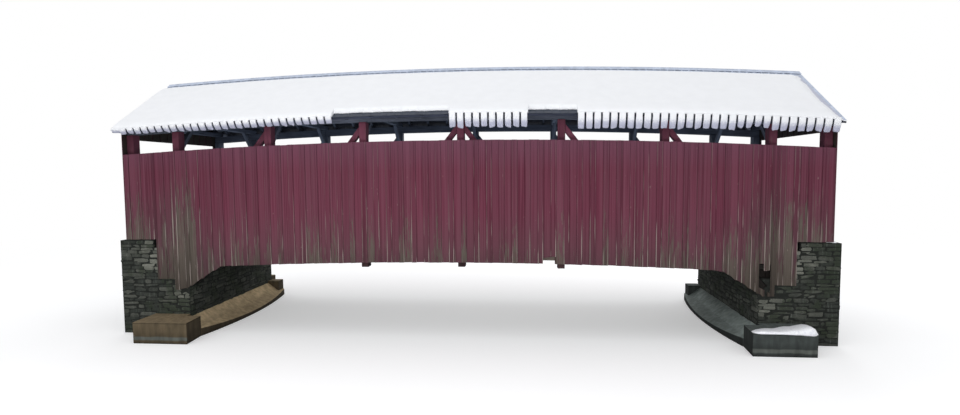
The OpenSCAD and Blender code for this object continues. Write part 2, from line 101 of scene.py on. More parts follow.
# Deck and trusses
DECK_HALF = limit("deck", Y)
DECK_Z = (limit("floor_joists", Z), limit("deck", Z))
ARCH_CENTRE = -6.020
ARCH_RADIUS = 11.750
CHORD_LOW = 2.460
# Snow: where the blanket starts below the ridge, the bare stretches, and the left corner's strip
SNOW_TOP_Y = 0.320
SNOW_HALF = 10.800
BARE = ((-3.810, -0.270), (2.050, 3.470))
BARE_EDGE = 3.015
CORNER_X = -10.458
SNOW_ENDS = (-10.840, 10.700)
# Masonry and footings. An arch's foot enters a pocket: its reach from mid span and out from the
# road's middle, and its foot in the side and in the front of the abutment
FACE_X = limit("abutment_right", X, 0)
WALL_X = 9.620
LEDGE_X = 9.920
BACK_X = limit("abutment_right", X)
WALL_Y = limit("abutment_right", Y)
SEAT_Z = 1.968
LEDGE_Z = 3.090
POCKET_X = 9.020
POCKET_Y = 2.170
POCKET_Z = (1.420, 1.520)
ROAD_Z = DECK_Z[0]
BLOCK_Y = limit("footing_right", Y)
BLOCK_Z = limit("footing_right", Z)


def linear(code):
    """Linear RGB of an sRGB hex colour."""
    part = np.array([int(code[i:i + 2], 16) for i in (0, 2, 4)]) / 255
    return tuple(np.where(part <= 0.04045, part / 12.92, ((part + 0.055) / 1.055) ** 2.4).tolist())


def length(name, description, default, low, high):
    return FloatProperty(
        name=name, description=description, default=default, min=low, max=high,
        unit="LENGTH", subtype="DISTANCE", precision=4)


def colour(name, description, code):
    return FloatVectorProperty(
        name=name, description=description, default=linear(code), min=0, max=1, size=3,
        subtype="COLOR")


class BridgeSizes(PropertyGroup):
    """Sizes of the small pieces, measured in the photograph's frame."""
    board_pitch: length("Board pitch", "Distance between two battens", 0.3855, 0.3, 0.5)
    board_width: length("Board width", "Width of a wall board", 0.305, 0.2, 0.36)
    batten_width: length("Batten width", "Width of the board over a joint", 0.155, 0.05, 0.2)
    board_thick: length("Board thickness", "Thickness of a wall board", 0.020, 0.015, 0.025)
    batten_thick: length("Batten thickness", "Thickness of the board over a joint", 0.018, 0.01, 0.025)
    plank_pitch: length("Plank pitch", "Distance between two deck planks", 0.250, 0.15, 0.35)
    rib_pitch: length("Rib pitch", "Distance between two ribs of the roof sheet", 0.2340, 0.2, 0.3)
    rib_height: length("Rib height", "Height of a rib of the roof sheet", 0.018, 0.01, 0.019)
    snow_depth: length("Snow depth", "Depth of the snow square to the roof", 0.116, 0.03, 0.13)
    long_curtain: length("Long curtain", "Hang of the snow at the right of the eave", 0.420, 0.1, 0.43)
    short_curtain: length("Short curtain", "Hang of the snow at the left of the eave", 0.202, 0.1, 0.43)
    slit: length("Slit", "Gap between two hanging strips of snow", 0.050, 0.02, 0.08)
    stone_length: length("Stone length", "Mean length of a wall stone", 0.38, 0.2, 0.8)
    stone_height: length("Stone height", "Mean height of a course of stones", 0.115, 0.08, 0.3)
    arris: length("Arris", "Width of the worn edges of a timber", 0.008, 0.002, 0.012)


class BridgeColours(PropertyGroup):
    """Colours as the eye reads them in plain light."""
    paint: colour("Paint", "Wine-red paint on the boards", "632c3d")
    paint_dull: colour("Dull paint", "Chalky paint in streaks and on the duller boards", "663a47")
    paint_high: colour("Paint under the eave", "Paint at the top of the boards", "694050")
    post_paint: colour("Paint on the posts", "Older and duller paint on the posts and braces", "6a3949")
    paint_low: colour("Faded paint", "Thin greyish paint low down on the boards", "583d43")
    bare_wood: colour("Bare wood", "Olive-grey wood where the paint has gone", "59514a")
    worn_line: colour("Worn line", "Pale edges of the boards", "a0948d")
    timber: colour("Timber", "Dark weathered sawn timber", "453d39")
    timber_pale: colour("Pale timber", "Raised grain of the sawn timber", "696056")
    # Painted shade: the roof timber's blue-black stands for the sky-lit shade under the roof
    loft: colour("Roof timber", "Blue-black stain on the timbers under the roof", "585d6a")
    plank: colour("Plank", "Trodden deck planks", "6e655c")
    # Painted shade: the trim's blue-black stands for the shade under the drip edge
    trim: colour("Dark trim", "Nearly black board under the drip edge", "2f3444")
    metal: colour("Roof sheet", "Painted steel sheet", "353b48")
    frost: colour("Frost", "Frost on the sheet and the ridge cap", "bdc6d7")
    snow: colour("Snow", "Settled snow", "f4f5f7")
    # The same blue-grey paints shade along the blanket's upper edge and thawed end and on the block's snow
    ice: colour("Icy snow", "Wet grey snow at the tips of the hanging strips", "b4b6c8")
    joint: colour("Joints", "Dark gaps between the stones", "20221f")
    stone: colour("Stone", "Dark mossy field stone", "30332f")
    stone_pale: colour("Pale stone", "Lighter faces among the stones", "72736a")
    moss: colour("Moss", "Moss on the damp stones", "2d3428")
    concrete: colour("Concrete", "Stained cast concrete", "434846")
    concrete_band: colour("Washed concrete", "Pale band that high water has washed", "6f746e")
    rust_stain: colour("Stain", "Tan stain on the left footing", "665842")
    iron: colour("Iron", "Rusty bolts and nails", "3a2c26")


# Shapes

def drop(x):
    """Fall of a long member below its mid-span height: a parabola drawn as straights of one step."""
    at = CAMBER_STEP * np.arange(9)
    return np.interp(np.abs(x), at, CAMBER_RISE * (at / ROOF_HALF) ** 2)


def metal_z(x, y):
    """Height of the roof sheet's ribs: a plane falling from the ridge, lowered by the camber."""
    return RIDGE_Z - np.abs(y) * SLOPE - drop(x)


def rake(y):
    """Half length of the roof at a distance from the ridge: straight from ridge to eave."""
    return ROOF_HALF + RIDGE_REACH * (1 - np.abs(y) / EAVE_Y)


def rib_rows(sizes):
    """Places of the roof sheet's ribs along the bridge: one slit in the snow hangs under each."""
    count = int(ROOF_HALF / sizes.rib_pitch) + 1
    rib = FIRST_RIB + sizes.rib_pitch * np.arange(-count, count)
    return rib[np.abs(rib) < ROOF_HALF - 0.03]


def edge_low(x):
    """Lower edge of the siding: cambered, then sloping down over the arch foot and stepping up."""
    x = np.abs(x)
    return np.where(x < FLARE_X, SIDING_LOW - drop(x), np.interp(x, EDGE_X, EDGE_Z))


def arch_z(x):
    """Height of the arch's middle line: a circle about a point far below the water."""
    return ARCH_CENTRE + np.sqrt(ARCH_RADIUS ** 2 - x ** 2)


def points_at(x, y, z):
    """Points from their coordinates, as arrays that are spread to one shape."""
    return np.stack(np.broadcast_arrays(x, y, z), -1)


def pick(rows, chosen):
    """The chosen ones of rows, which are arrays of one length by name."""
    return {key: value[chosen] for key, value in rows.items()}


def joined(rows, more):
    """The rows with more of the same kind after them."""
    return {key: np.concatenate([rows[key], more[key]]) for key in rows}


def tubes(rings, **values):
    """Closed tubes: each carries a profile ring rings[tube, step, around] through its steps and is
    capped at both ends. A tube whose faces enclose a negative volume has them turned."""
    shape = rings.shape[:3]
    count, steps, around = shape
    ids = np.arange(count * steps * around).reshape(shape)
    a, b = ids[:, :-1], ids[:, 1:]
    sides = np.stack([a, np.roll(a, -1, 2), np.roll(b, -1, 2), b], -1).reshape(count, -1, 4)
    caps = np.stack([ids[:, 0, ::-1], ids[:, -1]], 1)
    points = rings.reshape(-1, 3)
    corner = points[sides] - rings.mean((1, 2))[:, None, None]
    across = np.cross(corner[:, :, 1], corner[:, :, 2]) + np.cross(corner[:, :, 2], corner[:, :, 3])
    turned = np.einsum("tfk,tfk->t", corner[:, :, 0], across) < 0
    sides[turned] = sides[turned][:, :, ::-1]
    caps[turned] = caps[turned][:, :, ::-1]
    spread = {key: np.broadcast_to(value, shape).ravel() for key, value in values.items()}
    return points, [sides.reshape(-1, 4), caps.reshape(-1, around)], spread


def sheet(grid, **values):
    """Open surface over grid[row, column], facing up."""
    ids = np.arange(grid[..., 0].size).reshape(grid.shape[:2])
    faces = np.stack([ids[:-1, :-1], ids[:-1, 1:], ids[1:, 1:], ids[1:, :-1]], -1).reshape(-1, 4)
    points = grid.reshape(-1, 3)
    corner = points[faces]
    up = np.cross(corner[:, 1] - corner[:, 0], corner[:, 2] - corner[:, 0])
    if up[:, 2].sum() < 0:
        faces = faces[:, ::-1]
    spread = {key: np.broadcast_to(value, grid.shape[:2]).ravel() for key, value in values.items()}
    return points, [faces], spread


def put(name, parts, material, instead_of=(), smooth=False):
    """One object from parts, with their values as point attributes. It stays at the origin."""
    starts = np.cumsum([0] + [len(part[0]) for part in parts])
    points = np.concatenate([part[0] for part in parts])
    faces = [face + start for part, start in zip(parts, starts) for face in part[1]]
    corners = np.concatenate([face.ravel() for face in faces])
    sizes = np.concatenate([np.full(len(face), face.shape[1]) for face in faces])
    mesh = bpy.data.meshes.new(name)
    mesh.vertices.add(len(points))
    mesh.vertices.foreach_set("co", points.astype(np.float32).ravel())
    mesh.loops.add(len(corners))
    mesh.loops.foreach_set("vertex_index", corners.astype(np.int32))
    mesh.polygons.add(len(sizes))
    mesh.polygons.foreach_set("loop_start", (np.cumsum(sizes) - sizes).astype(np.int32))
    mesh.polygons.foreach_set("use_smooth", (sizes == 4) & smooth)
    for key in parts[0][2]:
        values = np.concatenate([part[2][key] for part in parts]).astype(np.float32)
        mesh.attributes.new(key, "FLOAT", "POINT").data.foreach_set("value", values)
    mesh.update(calc_edges=True)
    if mesh.validate():
        raise RuntimeError(f"{name}: its mesh was not valid")
    mesh.materials.append(material)
    piece = bpy.data.objects.new(name, mesh)
    bpy.context.scene.collection.objects.link(piece)
    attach(piece, "root")
    if instead_of:
        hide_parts(*instead_of)
    return piece


def split(rows, cuts):
    """Cuts every strip of rows {left, right, ...} that spans one of the places in cuts."""
    for cut in cuts:
        over = (rows["left"] < cut - 1e-4) & (rows["right"] > cut + 1e-4)
        rest = pick(rows, over)
        rest["left"] = np.full(over.sum(), cut)
        rows = joined(dict(rows, right=np.where(over, cut, rows["right"])), rest)
    return rows


def board_rows(sizes, reach, seed):
    """Strips of a wall of boards with a board over every joint, at one pitch, as arrays. Slivers
    at the ends are left out."""
    rng = np.random.default_rng(seed)
    count = int(reach / sizes.board_pitch) + 2
    centre = FIRST_BATTEN + sizes.board_pitch * np.arange(-count, count)
    middle = centre + sizes.board_pitch / 2
    back = SIDING_Y + sizes.board_thick
    rows = {
        "left": np.concatenate([middle - sizes.board_width / 2, centre - sizes.batten_width / 2]),
        "right": np.concatenate([middle + sizes.board_width / 2, centre + sizes.batten_width / 2]),
        "inner": np.repeat([SIDING_Y, back], len(centre)),
        "outer": np.repeat([back, back + sizes.batten_thick], len(centre)),
    }
    rows["left"] = np.clip(rows["left"], -reach, reach)
    rows["right"] = np.clip(rows["right"], -reach, reach)
    rows["tone"] = rng.random(len(rows["left"]))
    rows["batten"] = (rows["inner"] > SIDING_Y).astype(float)
    wide = rows["right"] - rows["left"] > 0.02
    return pick(rows, wide)


def planed_boards(rows, low, high, place, wear_top, seed):
    """Boards from arrays: the section has eight points with eased corners and a line in from each edge, as
    far as the wear reaches on the boards over the joints and the dirt and painted shade on the others, and
    runs from low to high.
    place(across, out, z) gives points."""
    rng = np.random.default_rng(seed)
    count = len(rows["left"])
    width = rows["right"] - rows["left"]
    # The boards between the joints carry dirt and painted shade 66 mm in from each edge
    eased, worn_line, dirt_and_shade_line = 0.003, 0.028, 0.066
    ease = eased / width
    line = np.minimum(np.where(rows["batten"] > 0, worn_line, dirt_and_shade_line) / width, 0.45)
    zero = np.zeros(count)
    along = np.stack([zero, zero, ease, line, 1 - line, 1 - ease, zero + 1, zero + 1], -1)
    depth = np.array([0, 0.8, 1, 1, 1, 1, 0.8, 0])
    edge = np.array([0, 0, 0, 1, 1, 0, 0, 0])
    step = np.array([0, 0.01, 0.12, 0.25, 0.4, 0.6, 0.8, 0.99, 1.0])
    across = rows["left"][:, None] + along * width[:, None]
    bottom = low[:, [0, 0, 0, 1, 2, 3, 3, 3]]
    top = high[:, :1] + along * (high[:, 1:] - high[:, :1])
    z = bottom[:, None] + (top - bottom)[:, None] * step[None, :, None]
    bow = rng.normal(0, 0.0012, count)[:, None] * np.sin(np.pi * step)
    out = rows["inner"][:, None, None] + (rows["outer"] - rows["inner"])[:, None, None] * depth
    out = out + bow[:, :, None]
    across = np.broadcast_to(across[:, None], z.shape)
    out = np.broadcast_to(out, z.shape)
    points = place(across, out, z)
    # Wear grows downwards from wear_top, by 1 every 1.2 m
    worn = np.clip((wear_top(across) - z) / 1.2, 0, 3)
    return tubes(
        points, edge=edge[None, None], tone=rows["tone"][:, None, None],
        batten=rows["batten"][:, None, None], wear=worn)


def studs(centre, out, radius, height, sides=8):
    """Low domes on a surface: rings of three radii about centre, raised along the unit vector out."""
    turn = np.arange(sides) * 2 * math.pi / sides
    out = np.broadcast_to(out, centre.shape)
    helper = np.where(np.abs(out[:, 2:3]) < 0.9, np.array([[0, 0, 1.0]]), np.array([[1.0, 0, 0]]))
    u = np.cross(out, helper)
    u /= np.linalg.norm(u, axis=1)[:, None]
    v = np.cross(out, u)
    turn = turn[None, None, :, None]
    wheel = np.cos(turn) * u[:, None, None] + np.sin(turn) * v[:, None, None]
    size = np.array([1.0, 1.0, 0.78, 0.3])[None, :, None, None] * radius
    lift = np.array([-0.5, 0.45, 0.85, 1.0])[None, :, None, None] * height
    return tubes(centre[:, None, None] + wheel * size + out[:, None, None] * lift)


def rounded_stones(centre, half, axes, seed):
    """Stones as cubes blown towards a ball: a cube's grid point p goes to p / |p| in the sixth-power
    length, scaled by the half sizes along three axes, and pushed about by a few per cent."""
    rng = np.random.default_rng(seed)
    step = np.linspace(-1, 1, 4)
    a, b = [g.ravel() for g in np.meshgrid(step, step)]
    one = np.ones_like(a)
    cube = np.concatenate([
        np.stack(side, -1) for side in (
            (a, b, one), (a, b, -one), (one, a, b), (-one, a, b), (a, one, b), (a, -one, b))])
    key, back = np.unique(np.round(cube * 3).astype(int), axis=0, return_inverse=True)
    body = key / 3
    body = body / (np.abs(body) ** 6).sum(1, keepdims=True) ** (1 / 6)
    ids = back.reshape(6, 4, 4)
    quad = np.stack([ids[:, :-1, :-1], ids[:, :-1, 1:], ids[:, 1:, 1:], ids[:, 1:, :-1]], -1).reshape(-1, 4)
    corner = body[quad]
    across = np.cross(corner[:, 1] - corner[:, 0], corner[:, 2] - corner[:, 0])
    facing = np.einsum("fk,fk->f", across, corner.mean(1))
    quad[facing < 0] = quad[facing < 0][:, ::-1]
    count = len(centre)
    shake = 1 + rng.normal(0, 0.07, (count, len(body), 3))
    local = body[None] * shake * half[:, None]
    local[:, :, 2] += local[:, :, 0] * rng.normal(0, 0.04, count)[:, None]
    points = centre[:, None] + np.einsum("cpk,ckj->cpj", local, axes)
    faces = quad[None] + (len(body) * np.arange(count))[:, None, None]
    return points.reshape(-1, 3), faces.reshape(-1, 4)


# Finishes

def feed(tree, node, inputs):
    """Sets a node's inputs, given by name, or in order for those that its settings leave on. Each
    is a value, a colour, a socket, or a node that gives the first output that is on."""
    named = isinstance(inputs, dict)
    sockets = [node.inputs[key] for key in inputs] if named else [way for way in node.inputs if way.enabled]
    for socket, value in zip(sockets, inputs.values() if named else inputs):
        if isinstance(value, bpy.types.Node):
            value = next(way for way in value.outputs if way.enabled)
        if isinstance(value, bpy.types.NodeSocket):
            tree.links.new(value, socket)
        else:
            socket.default_value = (*value, 1)[:4] if socket.type == "RGBA" else value


def add(tree, kind, inputs=(), stops=(), **settings):
    """Adds one node with its settings, its inputs and the stops of its ramp. A MapRange takes a
    value, the two ends that it comes from and the two that it goes to, 0 and 1 if none are given."""
    node = tree.nodes.new("ShaderNode" + kind)
    for key, value in settings.items():
        setattr(node, key, value)
    feed(tree, node, inputs)
    for index, (place, shade) in enumerate(stops):
        ramp = node.color_ramp.elements
        stop = ramp[index] if index < 2 else ramp.new(place)
        stop.position = place
        stop.color = (*shade, 1)
    return node


def finish(name, roughness, specular=0.2, metallic=0.0):
    """An empty finish: its tree, its shader and the piece's own coordinates."""
    material = bpy.data.materials.new(name)
    material.use_nodes = True
    tree = material.node_tree
    tree.nodes.clear()
    shader = add(tree, "BsdfPrincipled", {
        "Metallic": metallic, "Roughness": roughness, "Specular IOR Level": specular})
    add(tree, "OutputMaterial", {"Surface": shader})
    place = add(tree, "TexCoord").outputs["Object"]
    return material, tree, shader, place


def toned(shade, factor):
    """A linear colour made darker or lighter by a factor."""
    return tuple(min(part * factor, 1) for part in shade)


def sawn_timber(
        name, dark, pale, grain, fold=None, turn=(0, 0, 0), arch=False, roughness=0.85, coat=None):
    """Sawn softwood: long fibres along the member, darker checks and patches of damp, and ends darkened by
    painted shade and damp. grain is the size of the fibres in metres. fold mirrors the pattern about an
    axis plane, turn lays it along a slanting member, and arch bends it round the arch's centre. coat is a
    paint colour that has worn off along the fibres, and off the darkened ends."""
    material, tree, shader, bare = finish(name, roughness)
    place = bare
    if arch:
        x, y, z = add(tree, "SeparateXYZ", [place]).outputs
        up = add(tree, "Math", [z, -ARCH_CENTRE], operation="ADD")
        angle = add(tree, "Math", [x, up], operation="ARCTAN2")
        run = add(tree, "Math", [angle, ARCH_RADIUS], operation="MULTIPLY")
        square = add(tree, "Math", [x, x], operation="MULTIPLY")
        square = add(tree, "Math", [up, up, square], operation="MULTIPLY_ADD")
        radius = add(tree, "Math", [square], operation="SQRT")
        place = add(tree, "CombineXYZ", [run, y, radius])
    if fold is not None:
        folded = add(tree, "VectorMath", [place], operation="ABSOLUTE")
        kept = add(tree, "SeparateXYZ", [place])
        sides = add(tree, "SeparateXYZ", [folded])
        place = add(tree, "CombineXYZ", [
            (sides if axis == fold else kept).outputs[axis] for axis in (X, Y, Z)])
    chance = add(tree, "NewGeometry").outputs["Random Per Island"]
    shift = add(tree, "Math", [chance, 7.0], operation="MULTIPLY")
    moved = add(tree, "VectorMath", [place, shift], operation="ADD")
    laid = add(tree, "Mapping", {"Vector": moved, "Rotation": turn, "Scale": grain}, vector_type="TEXTURE")
    fibre = add(tree, "TexNoise", {"Vector": laid, "Scale": 1.0, "Detail": 6.0, "Roughness": 0.62})
    check = add(tree, "TexNoise", {"Vector": laid, "Scale": 0.45, "Detail": 3.0, "Distortion": 0.4})
    # Patches of damp are about 1.1 m long
    damp = add(tree, "TexNoise", {"Vector": place, "Scale": 0.9, "Detail": 3.0})
    look = add(tree, "ValToRGB", [fibre], stops=((0.30, toned(dark, 0.55)), (0.46, dark), (0.72, pale)))
    crack = add(tree, "MapRange", [check, 0.30, 0.40, 0.45, 1.0])
    wet = add(tree, "MapRange", [damp, 0.35, 0.65, 0.72, 1.12])
    vary = add(tree, "MapRange", [chance, 0.0, 1.0, 0.82, 1.15])
    # Painted shade and damp darken the bearings at both ends, and the tips that hang below the siding stay
    # wet and dark
    x, _, z = add(tree, "SeparateXYZ", [bare]).outputs
    end = add(tree, "Math", [x], operation="ABSOLUTE")
    near_end = add(tree, "MapRange", [end, 7.6, 8.5])
    near_foot = add(tree, "MapRange", [z, 3.5, 3.0])
    painted_shade_and_damp = add(tree, "Math", [near_end, near_foot], operation="MULTIPLY")
    tip = add(tree, "MapRange", [z, 2.42, 2.36, 0.0, 0.6])
    painted_shade_and_damp = add(tree, "Math", [painted_shade_and_damp, tip], operation="MAXIMUM")
    if coat:
        peel = add(tree, "MapRange", [fibre, 0.58, 0.68], interpolation_type="SMOOTHSTEP")
        peel = add(tree, "Math", [peel, painted_shade_and_damp], operation="MAXIMUM")
        look = add(tree, "Mix", [peel, coat, look], data_type="RGBA")
    sunk = add(tree, "MapRange", [painted_shade_and_damp, 0.0, 1.0, 1.0, 0.15])
    shade = look
    for level in (crack, wet, vary, sunk):
        shade = add(tree, "VectorMath", [shade, level], operation="SCALE")
    bump = add(tree, "Bump", {"Height": fibre, "Distance": 0.004, "Strength": 0.6})
    feed(tree, shader, {"Base Color": shade, "Normal": bump})
    return material


def painted_boards(colours):
    """Oil paint on rough-sawn boards: a thin coat with long streaks, greyer and lost in places low
    down, where the edges of the boards over the joints wear to pale lines."""
    material, tree, shader, place = finish("wine_red_oil_paint_on_boards", 0.8, specular=0.1)
    edge, tone, wear, batten = [
        add(tree, "Attribute", attribute_name=key).outputs["Fac"]
        for key in ("edge", "tone", "wear", "batten")]
    shift = add(tree, "Math", [tone, 41.0], operation="MULTIPLY")
    moved = add(tree, "VectorMath", [place, shift], operation="ADD")
    # Fibres are 2 to 4 mm wide, drawn 14 mm wide so that they show. Streaks 35 mm wide run the
    # whole height, and patches are 50 mm wide and 1.1 m tall
    laid = add(tree, "Mapping", {"Vector": moved, "Scale": (0.014, 0.014, 0.42)}, vector_type="TEXTURE")
    fibre = add(tree, "TexNoise", {"Vector": laid, "Scale": 1.0, "Detail": 6.0, "Roughness": 0.6})
    tall = add(tree, "Mapping", {"Vector": moved, "Scale": (0.035, 0.035, 5.0)}, vector_type="TEXTURE")
    streak = add(tree, "TexNoise", {"Vector": tall, "Scale": 1.0, "Detail": 2.0})
    broad = add(tree, "Mapping", {"Vector": moved, "Scale": (0.05, 0.05, 1.1)}, vector_type="TEXTURE")
    patch = add(tree, "TexNoise", {"Vector": broad, "Scale": 1.0, "Detail": 3.0})
    height = add(tree, "SeparateXYZ", [place]).outputs[2]
    # A second chance for each board, from its tone
    again = add(tree, "Math", [tone, 7.3], operation="MULTIPLY")
    again = add(tree, "Math", [again], operation="FRACT")
    half = add(tree, "Math", [again, 0.4], operation="MULTIPLY")
    fade = add(tree, "MapRange", [streak, 0.38, 0.62, 0.0, 0.75])
    fade = add(tree, "Math", [fade, half], operation="ADD")
    high = add(tree, "MapRange", [height, 5.2, 6.10])
    thin = add(tree, "MapRange", [wear, 0.2, 1.9])
    look = colours.paint
    for part, coat in ((fade, colours.paint_dull), (high, colours.paint_high), (thin, colours.paint_low)):
        look = add(tree, "Mix", [part, look, coat], data_type="RGBA")
    # Bare wood: fibres that stand up, more of them low down and on some boards
    lost = add(tree, "Math", [wear, 0.175, fibre], operation="MULTIPLY_ADD")
    uneven = add(tree, "MapRange", [patch, 0.3, 0.7, -0.11, 0.11])
    some = add(tree, "MapRange", [again, 0.4, 1.0, -0.10, 0.12])
    for part in (uneven, some):
        lost = add(tree, "Math", [lost, part], operation="ADD")
    mask = add(tree, "MapRange", [lost, 0.745, 0.825], interpolation_type="SMOOTHSTEP")
    reach = add(tree, "MapRange", [wear, 0.0, 0.25])
    mask = add(tree, "Math", [mask, reach], operation="MULTIPLY")
    grey = colours.bare_wood
    wood = add(tree, "Mix", [fibre, toned(grey, 0.6), toned(grey, 1.5)], data_type="RGBA")
    look = add(tree, "Mix", [mask, look, wood], data_type="RGBA")
    damp = add(tree, "MapRange", [height, 1.6, 2.9, 0.62, 1.0])
    look = add(tree, "VectorMath", [look, damp], operation="SCALE")
    # Pale worn lines along some edges of the boards over the joints, each board's from its own height
    rim = add(tree, "MapRange", [edge, 0.80, 0.40])
    low = add(tree, "Math", [again, -0.9, wear], operation="MULTIPLY_ADD")
    low = add(tree, "MapRange", [low, -0.35, 0.85, 0.08, 0.85])
    torn = add(tree, "MapRange", [patch, 0.46, 0.56])
    for part in (batten, low, torn):
        rim = add(tree, "Math", [rim, part], operation="MULTIPLY")
    smear = add(tree, "Mapping", {"Vector": place, "Scale": (0.07, 0.07, 0.22)}, vector_type="TEXTURE")
    rub = add(tree, "TexNoise", {"Vector": smear, "Scale": 1.0, "Detail": 1.0})
    rub = add(tree, "MapRange", [rub, 0.76, 0.86, 0.0, 0.4])
    rim = add(tree, "Math", [rim, rub], operation="MAXIMUM")
    look = add(tree, "Mix", [rim, look, colours.worn_line], data_type="RGBA")
    # Dirt and painted shade beside the boards over the joints, and dirt in the streaks; the boards over the
    # joints are darker
    dirt_and_shade = add(tree, "MapRange", [edge, 0.60, 1.0, 0.70, 1.0])
    dirt_and_shade = add(tree, "Math", [dirt_and_shade, batten], operation="MAXIMUM")
    line = add(tree, "MapRange", [streak, 0.36, 0.45, 0.74, 1.0])
    each = add(tree, "MapRange", [tone, 0.0, 1.0, 0.93, 1.06])
    over = add(tree, "MapRange", [batten, 0.0, 1.0, 1.04, 0.93])
    # The faces that look into the bridge were never painted: they face against their own place
    facing = add(tree, "NewGeometry").outputs["True Normal"]
    facing = add(tree, "VectorMath", [facing, place], operation="MULTIPLY")
    facing = add(tree, "SeparateXYZ", [facing])
    gable = add(tree, "Math", [facing.outputs[0], 0.29 - SIDING_HALF], operation="LESS_THAN")
    inner = add(tree, "Math", [facing.outputs[1], 0.32 - SIDING_Y], operation="LESS_THAN")
    inner = add(tree, "Math", [gable, inner], operation="MAXIMUM")
    brown = colours.timber
    aged = add(tree, "Mix", [fibre, toned(brown, 0.4), toned(brown, 1.6)], data_type="RGBA")
    look = add(tree, "Mix", [inner, look, aged], data_type="RGBA")
    shade = look
    for level in (dirt_and_shade, line, each, over):
        shade = add(tree, "VectorMath", [shade, level], operation="SCALE")
    dull = add(tree, "MapRange", [mask, 0.0, 1.0, 0.7, 0.92])
    bump = add(tree, "Bump", {"Height": fibre, "Distance": 0.003, "Strength": 0.5})
    feed(tree, shader, {"Base Color": shade, "Roughness": dull, "Normal": bump})
    return material


def trodden_planks(colours):
    """Sawn planks polished by wheels: fibres across the road, and pale wheel tracks."""
    material, tree, shader, place = finish("trodden_softwood_planks", 0.8)
    tone = add(tree, "Attribute", attribute_name="tone").outputs["Fac"]
    far = add(tree, "Math", [tone, 31.0], operation="MULTIPLY")
    shift = add(tree, "CombineXYZ", [0, far, far])
    moved = add(tree, "VectorMath", [place, shift], operation="ADD")
    # Fibres are 2 to 4 mm wide, drawn 10 mm wide so that they show
    laid = add(tree, "Mapping", {"Vector": moved, "Scale": (0.010, 0.35, 0.010)}, vector_type="TEXTURE")
    fibre = add(tree, "TexNoise", {"Vector": laid, "Scale": 1.0, "Detail": 6.0})
    tint = add(tree, "ValToRGB", [fibre], stops=[
        (stop, toned(colours.plank, factor)) for stop, factor in ((0.3, 0.45), (0.5, 0.85), (0.75, 1.3))])
    # The wheels run 0.75 m off the middle of the road
    y = add(tree, "SeparateXYZ", [place]).outputs[1]
    side = add(tree, "Math", [y], operation="ABSOLUTE")
    off = add(tree, "Math", [side, 0.75], operation="SUBTRACT")
    off = add(tree, "Math", [off], operation="ABSOLUTE")
    track = add(tree, "MapRange", [off, 0.15, 0.45, 1.12, 0.85], interpolation_type="SMOOTHSTEP")
    each = add(tree, "MapRange", [tone, 0.0, 1.0, 0.8, 1.15])
    shade = tint
    for level in (track, each):
        shade = add(tree, "VectorMath", [shade, level], operation="SCALE")
    bump = add(tree, "Bump", {"Height": fibre, "Distance": 0.003, "Strength": 0.5})
    feed(tree, shader, {"Base Color": shade, "Normal": bump})
    return material


def painted_steel(name, colours, ridge):
    """Roll-formed steel sheet with a dull paint: smooth sheen, dust, and frost at the roof's ends
    and out to a distance from the ridge."""
    material, tree, shader, place = finish(name, 0.55, specular=0.35)
    x, y, _ = add(tree, "SeparateXYZ", [place]).outputs
    side = add(tree, "Math", [y], operation="ABSOLUTE")
    end = add(tree, "Math", [x], operation="ABSOLUTE")
    # Patches of dust and frost are about 0.2 m across
    cold = add(tree, "TexNoise", {"Vector": place, "Scale": 5.0, "Detail": 5.0, "Roughness": 0.65})
    ragged = add(tree, "Math", [cold, 0.35, side], operation="MULTIPLY_ADD")
    frost = add(tree, "MapRange", [ragged, ridge, ridge - 0.25], interpolation_type="SMOOTHSTEP")
    # Distance along the ridge, evened out for the slant of the roof's ends
    even = add(tree, "Math", [side, RIDGE_REACH / EAVE_Y, end], operation="MULTIPLY_ADD")
    last = ROOF_HALF + RIDGE_REACH
    edge = add(tree, "MapRange", [even, last - 0.40, last - 0.25])
    frost = add(tree, "Math", [frost, edge], operation="MAXIMUM")
    dust = add(tree, "MapRange", [cold, 0.3, 0.7, 0.8, 1.2])
    base = add(tree, "VectorMath", [colours.metal, dust], operation="SCALE")
    rime = add(tree, "VectorMath", [colours.frost, dust], operation="SCALE")
    look = add(tree, "Mix", [frost, base, rime], data_type="RGBA")
    dull = add(tree, "MapRange", [frost, 0.0, 1.0, 0.55, 0.8])
    bump = add(tree, "Bump", {"Height": cold, "Distance": 0.002, "Strength": 0.3})
    feed(tree, shader, {"Base Color": look, "Roughness": dull, "Normal": bump})
    return material


def settled_snow(colours):
    """Settled snow: matt, faintly uneven, and grey and wet where the strips thin out, with painted
    blue-grey shade along the blanket's upper edge and thawed end and on the block's snow.
    """
    material, tree, shader, place = finish("settled_snow", 0.7)
    ice = add(tree, "Attribute", attribute_name="ice").outputs["Fac"]
    # Drifts are about 0.3 m across, and the crust's lumps 45 mm
    soft = add(tree, "TexNoise", {"Vector": place, "Scale": 3.0, "Detail": 4.0})
    fine = add(tree, "TexNoise", {"Vector": place, "Scale": 22.0, "Detail": 5.0, "Roughness": 0.7})
    # The same grey stands for wet tips and for painted shade
    wet = add(tree, "Math", [fine, 0.7, ice], operation="MULTIPLY_ADD")
    mask = add(tree, "MapRange", [wet, 0.70, 1.15], interpolation_type="SMOOTHSTEP")
    grey = add(tree, "MapRange", [fine, 0.3, 0.7, 0.82, 1.15])
    grey_ice_and_shade = add(tree, "VectorMath", [colours.ice, grey], operation="SCALE")
    calm = add(tree, "MapRange", [soft, 0.3, 0.7, 0.97, 1.0])
    clean = add(tree, "VectorMath", [colours.snow, calm], operation="SCALE")
    look = add(tree, "Mix", [mask, clean, grey_ice_and_shade], data_type="RGBA")
    bump = add(tree, "Bump", {"Height": fine, "Distance": 0.006, "Strength": 0.35})
    feed(tree, shader, {"Base Color": look, "Normal": bump})
    return material


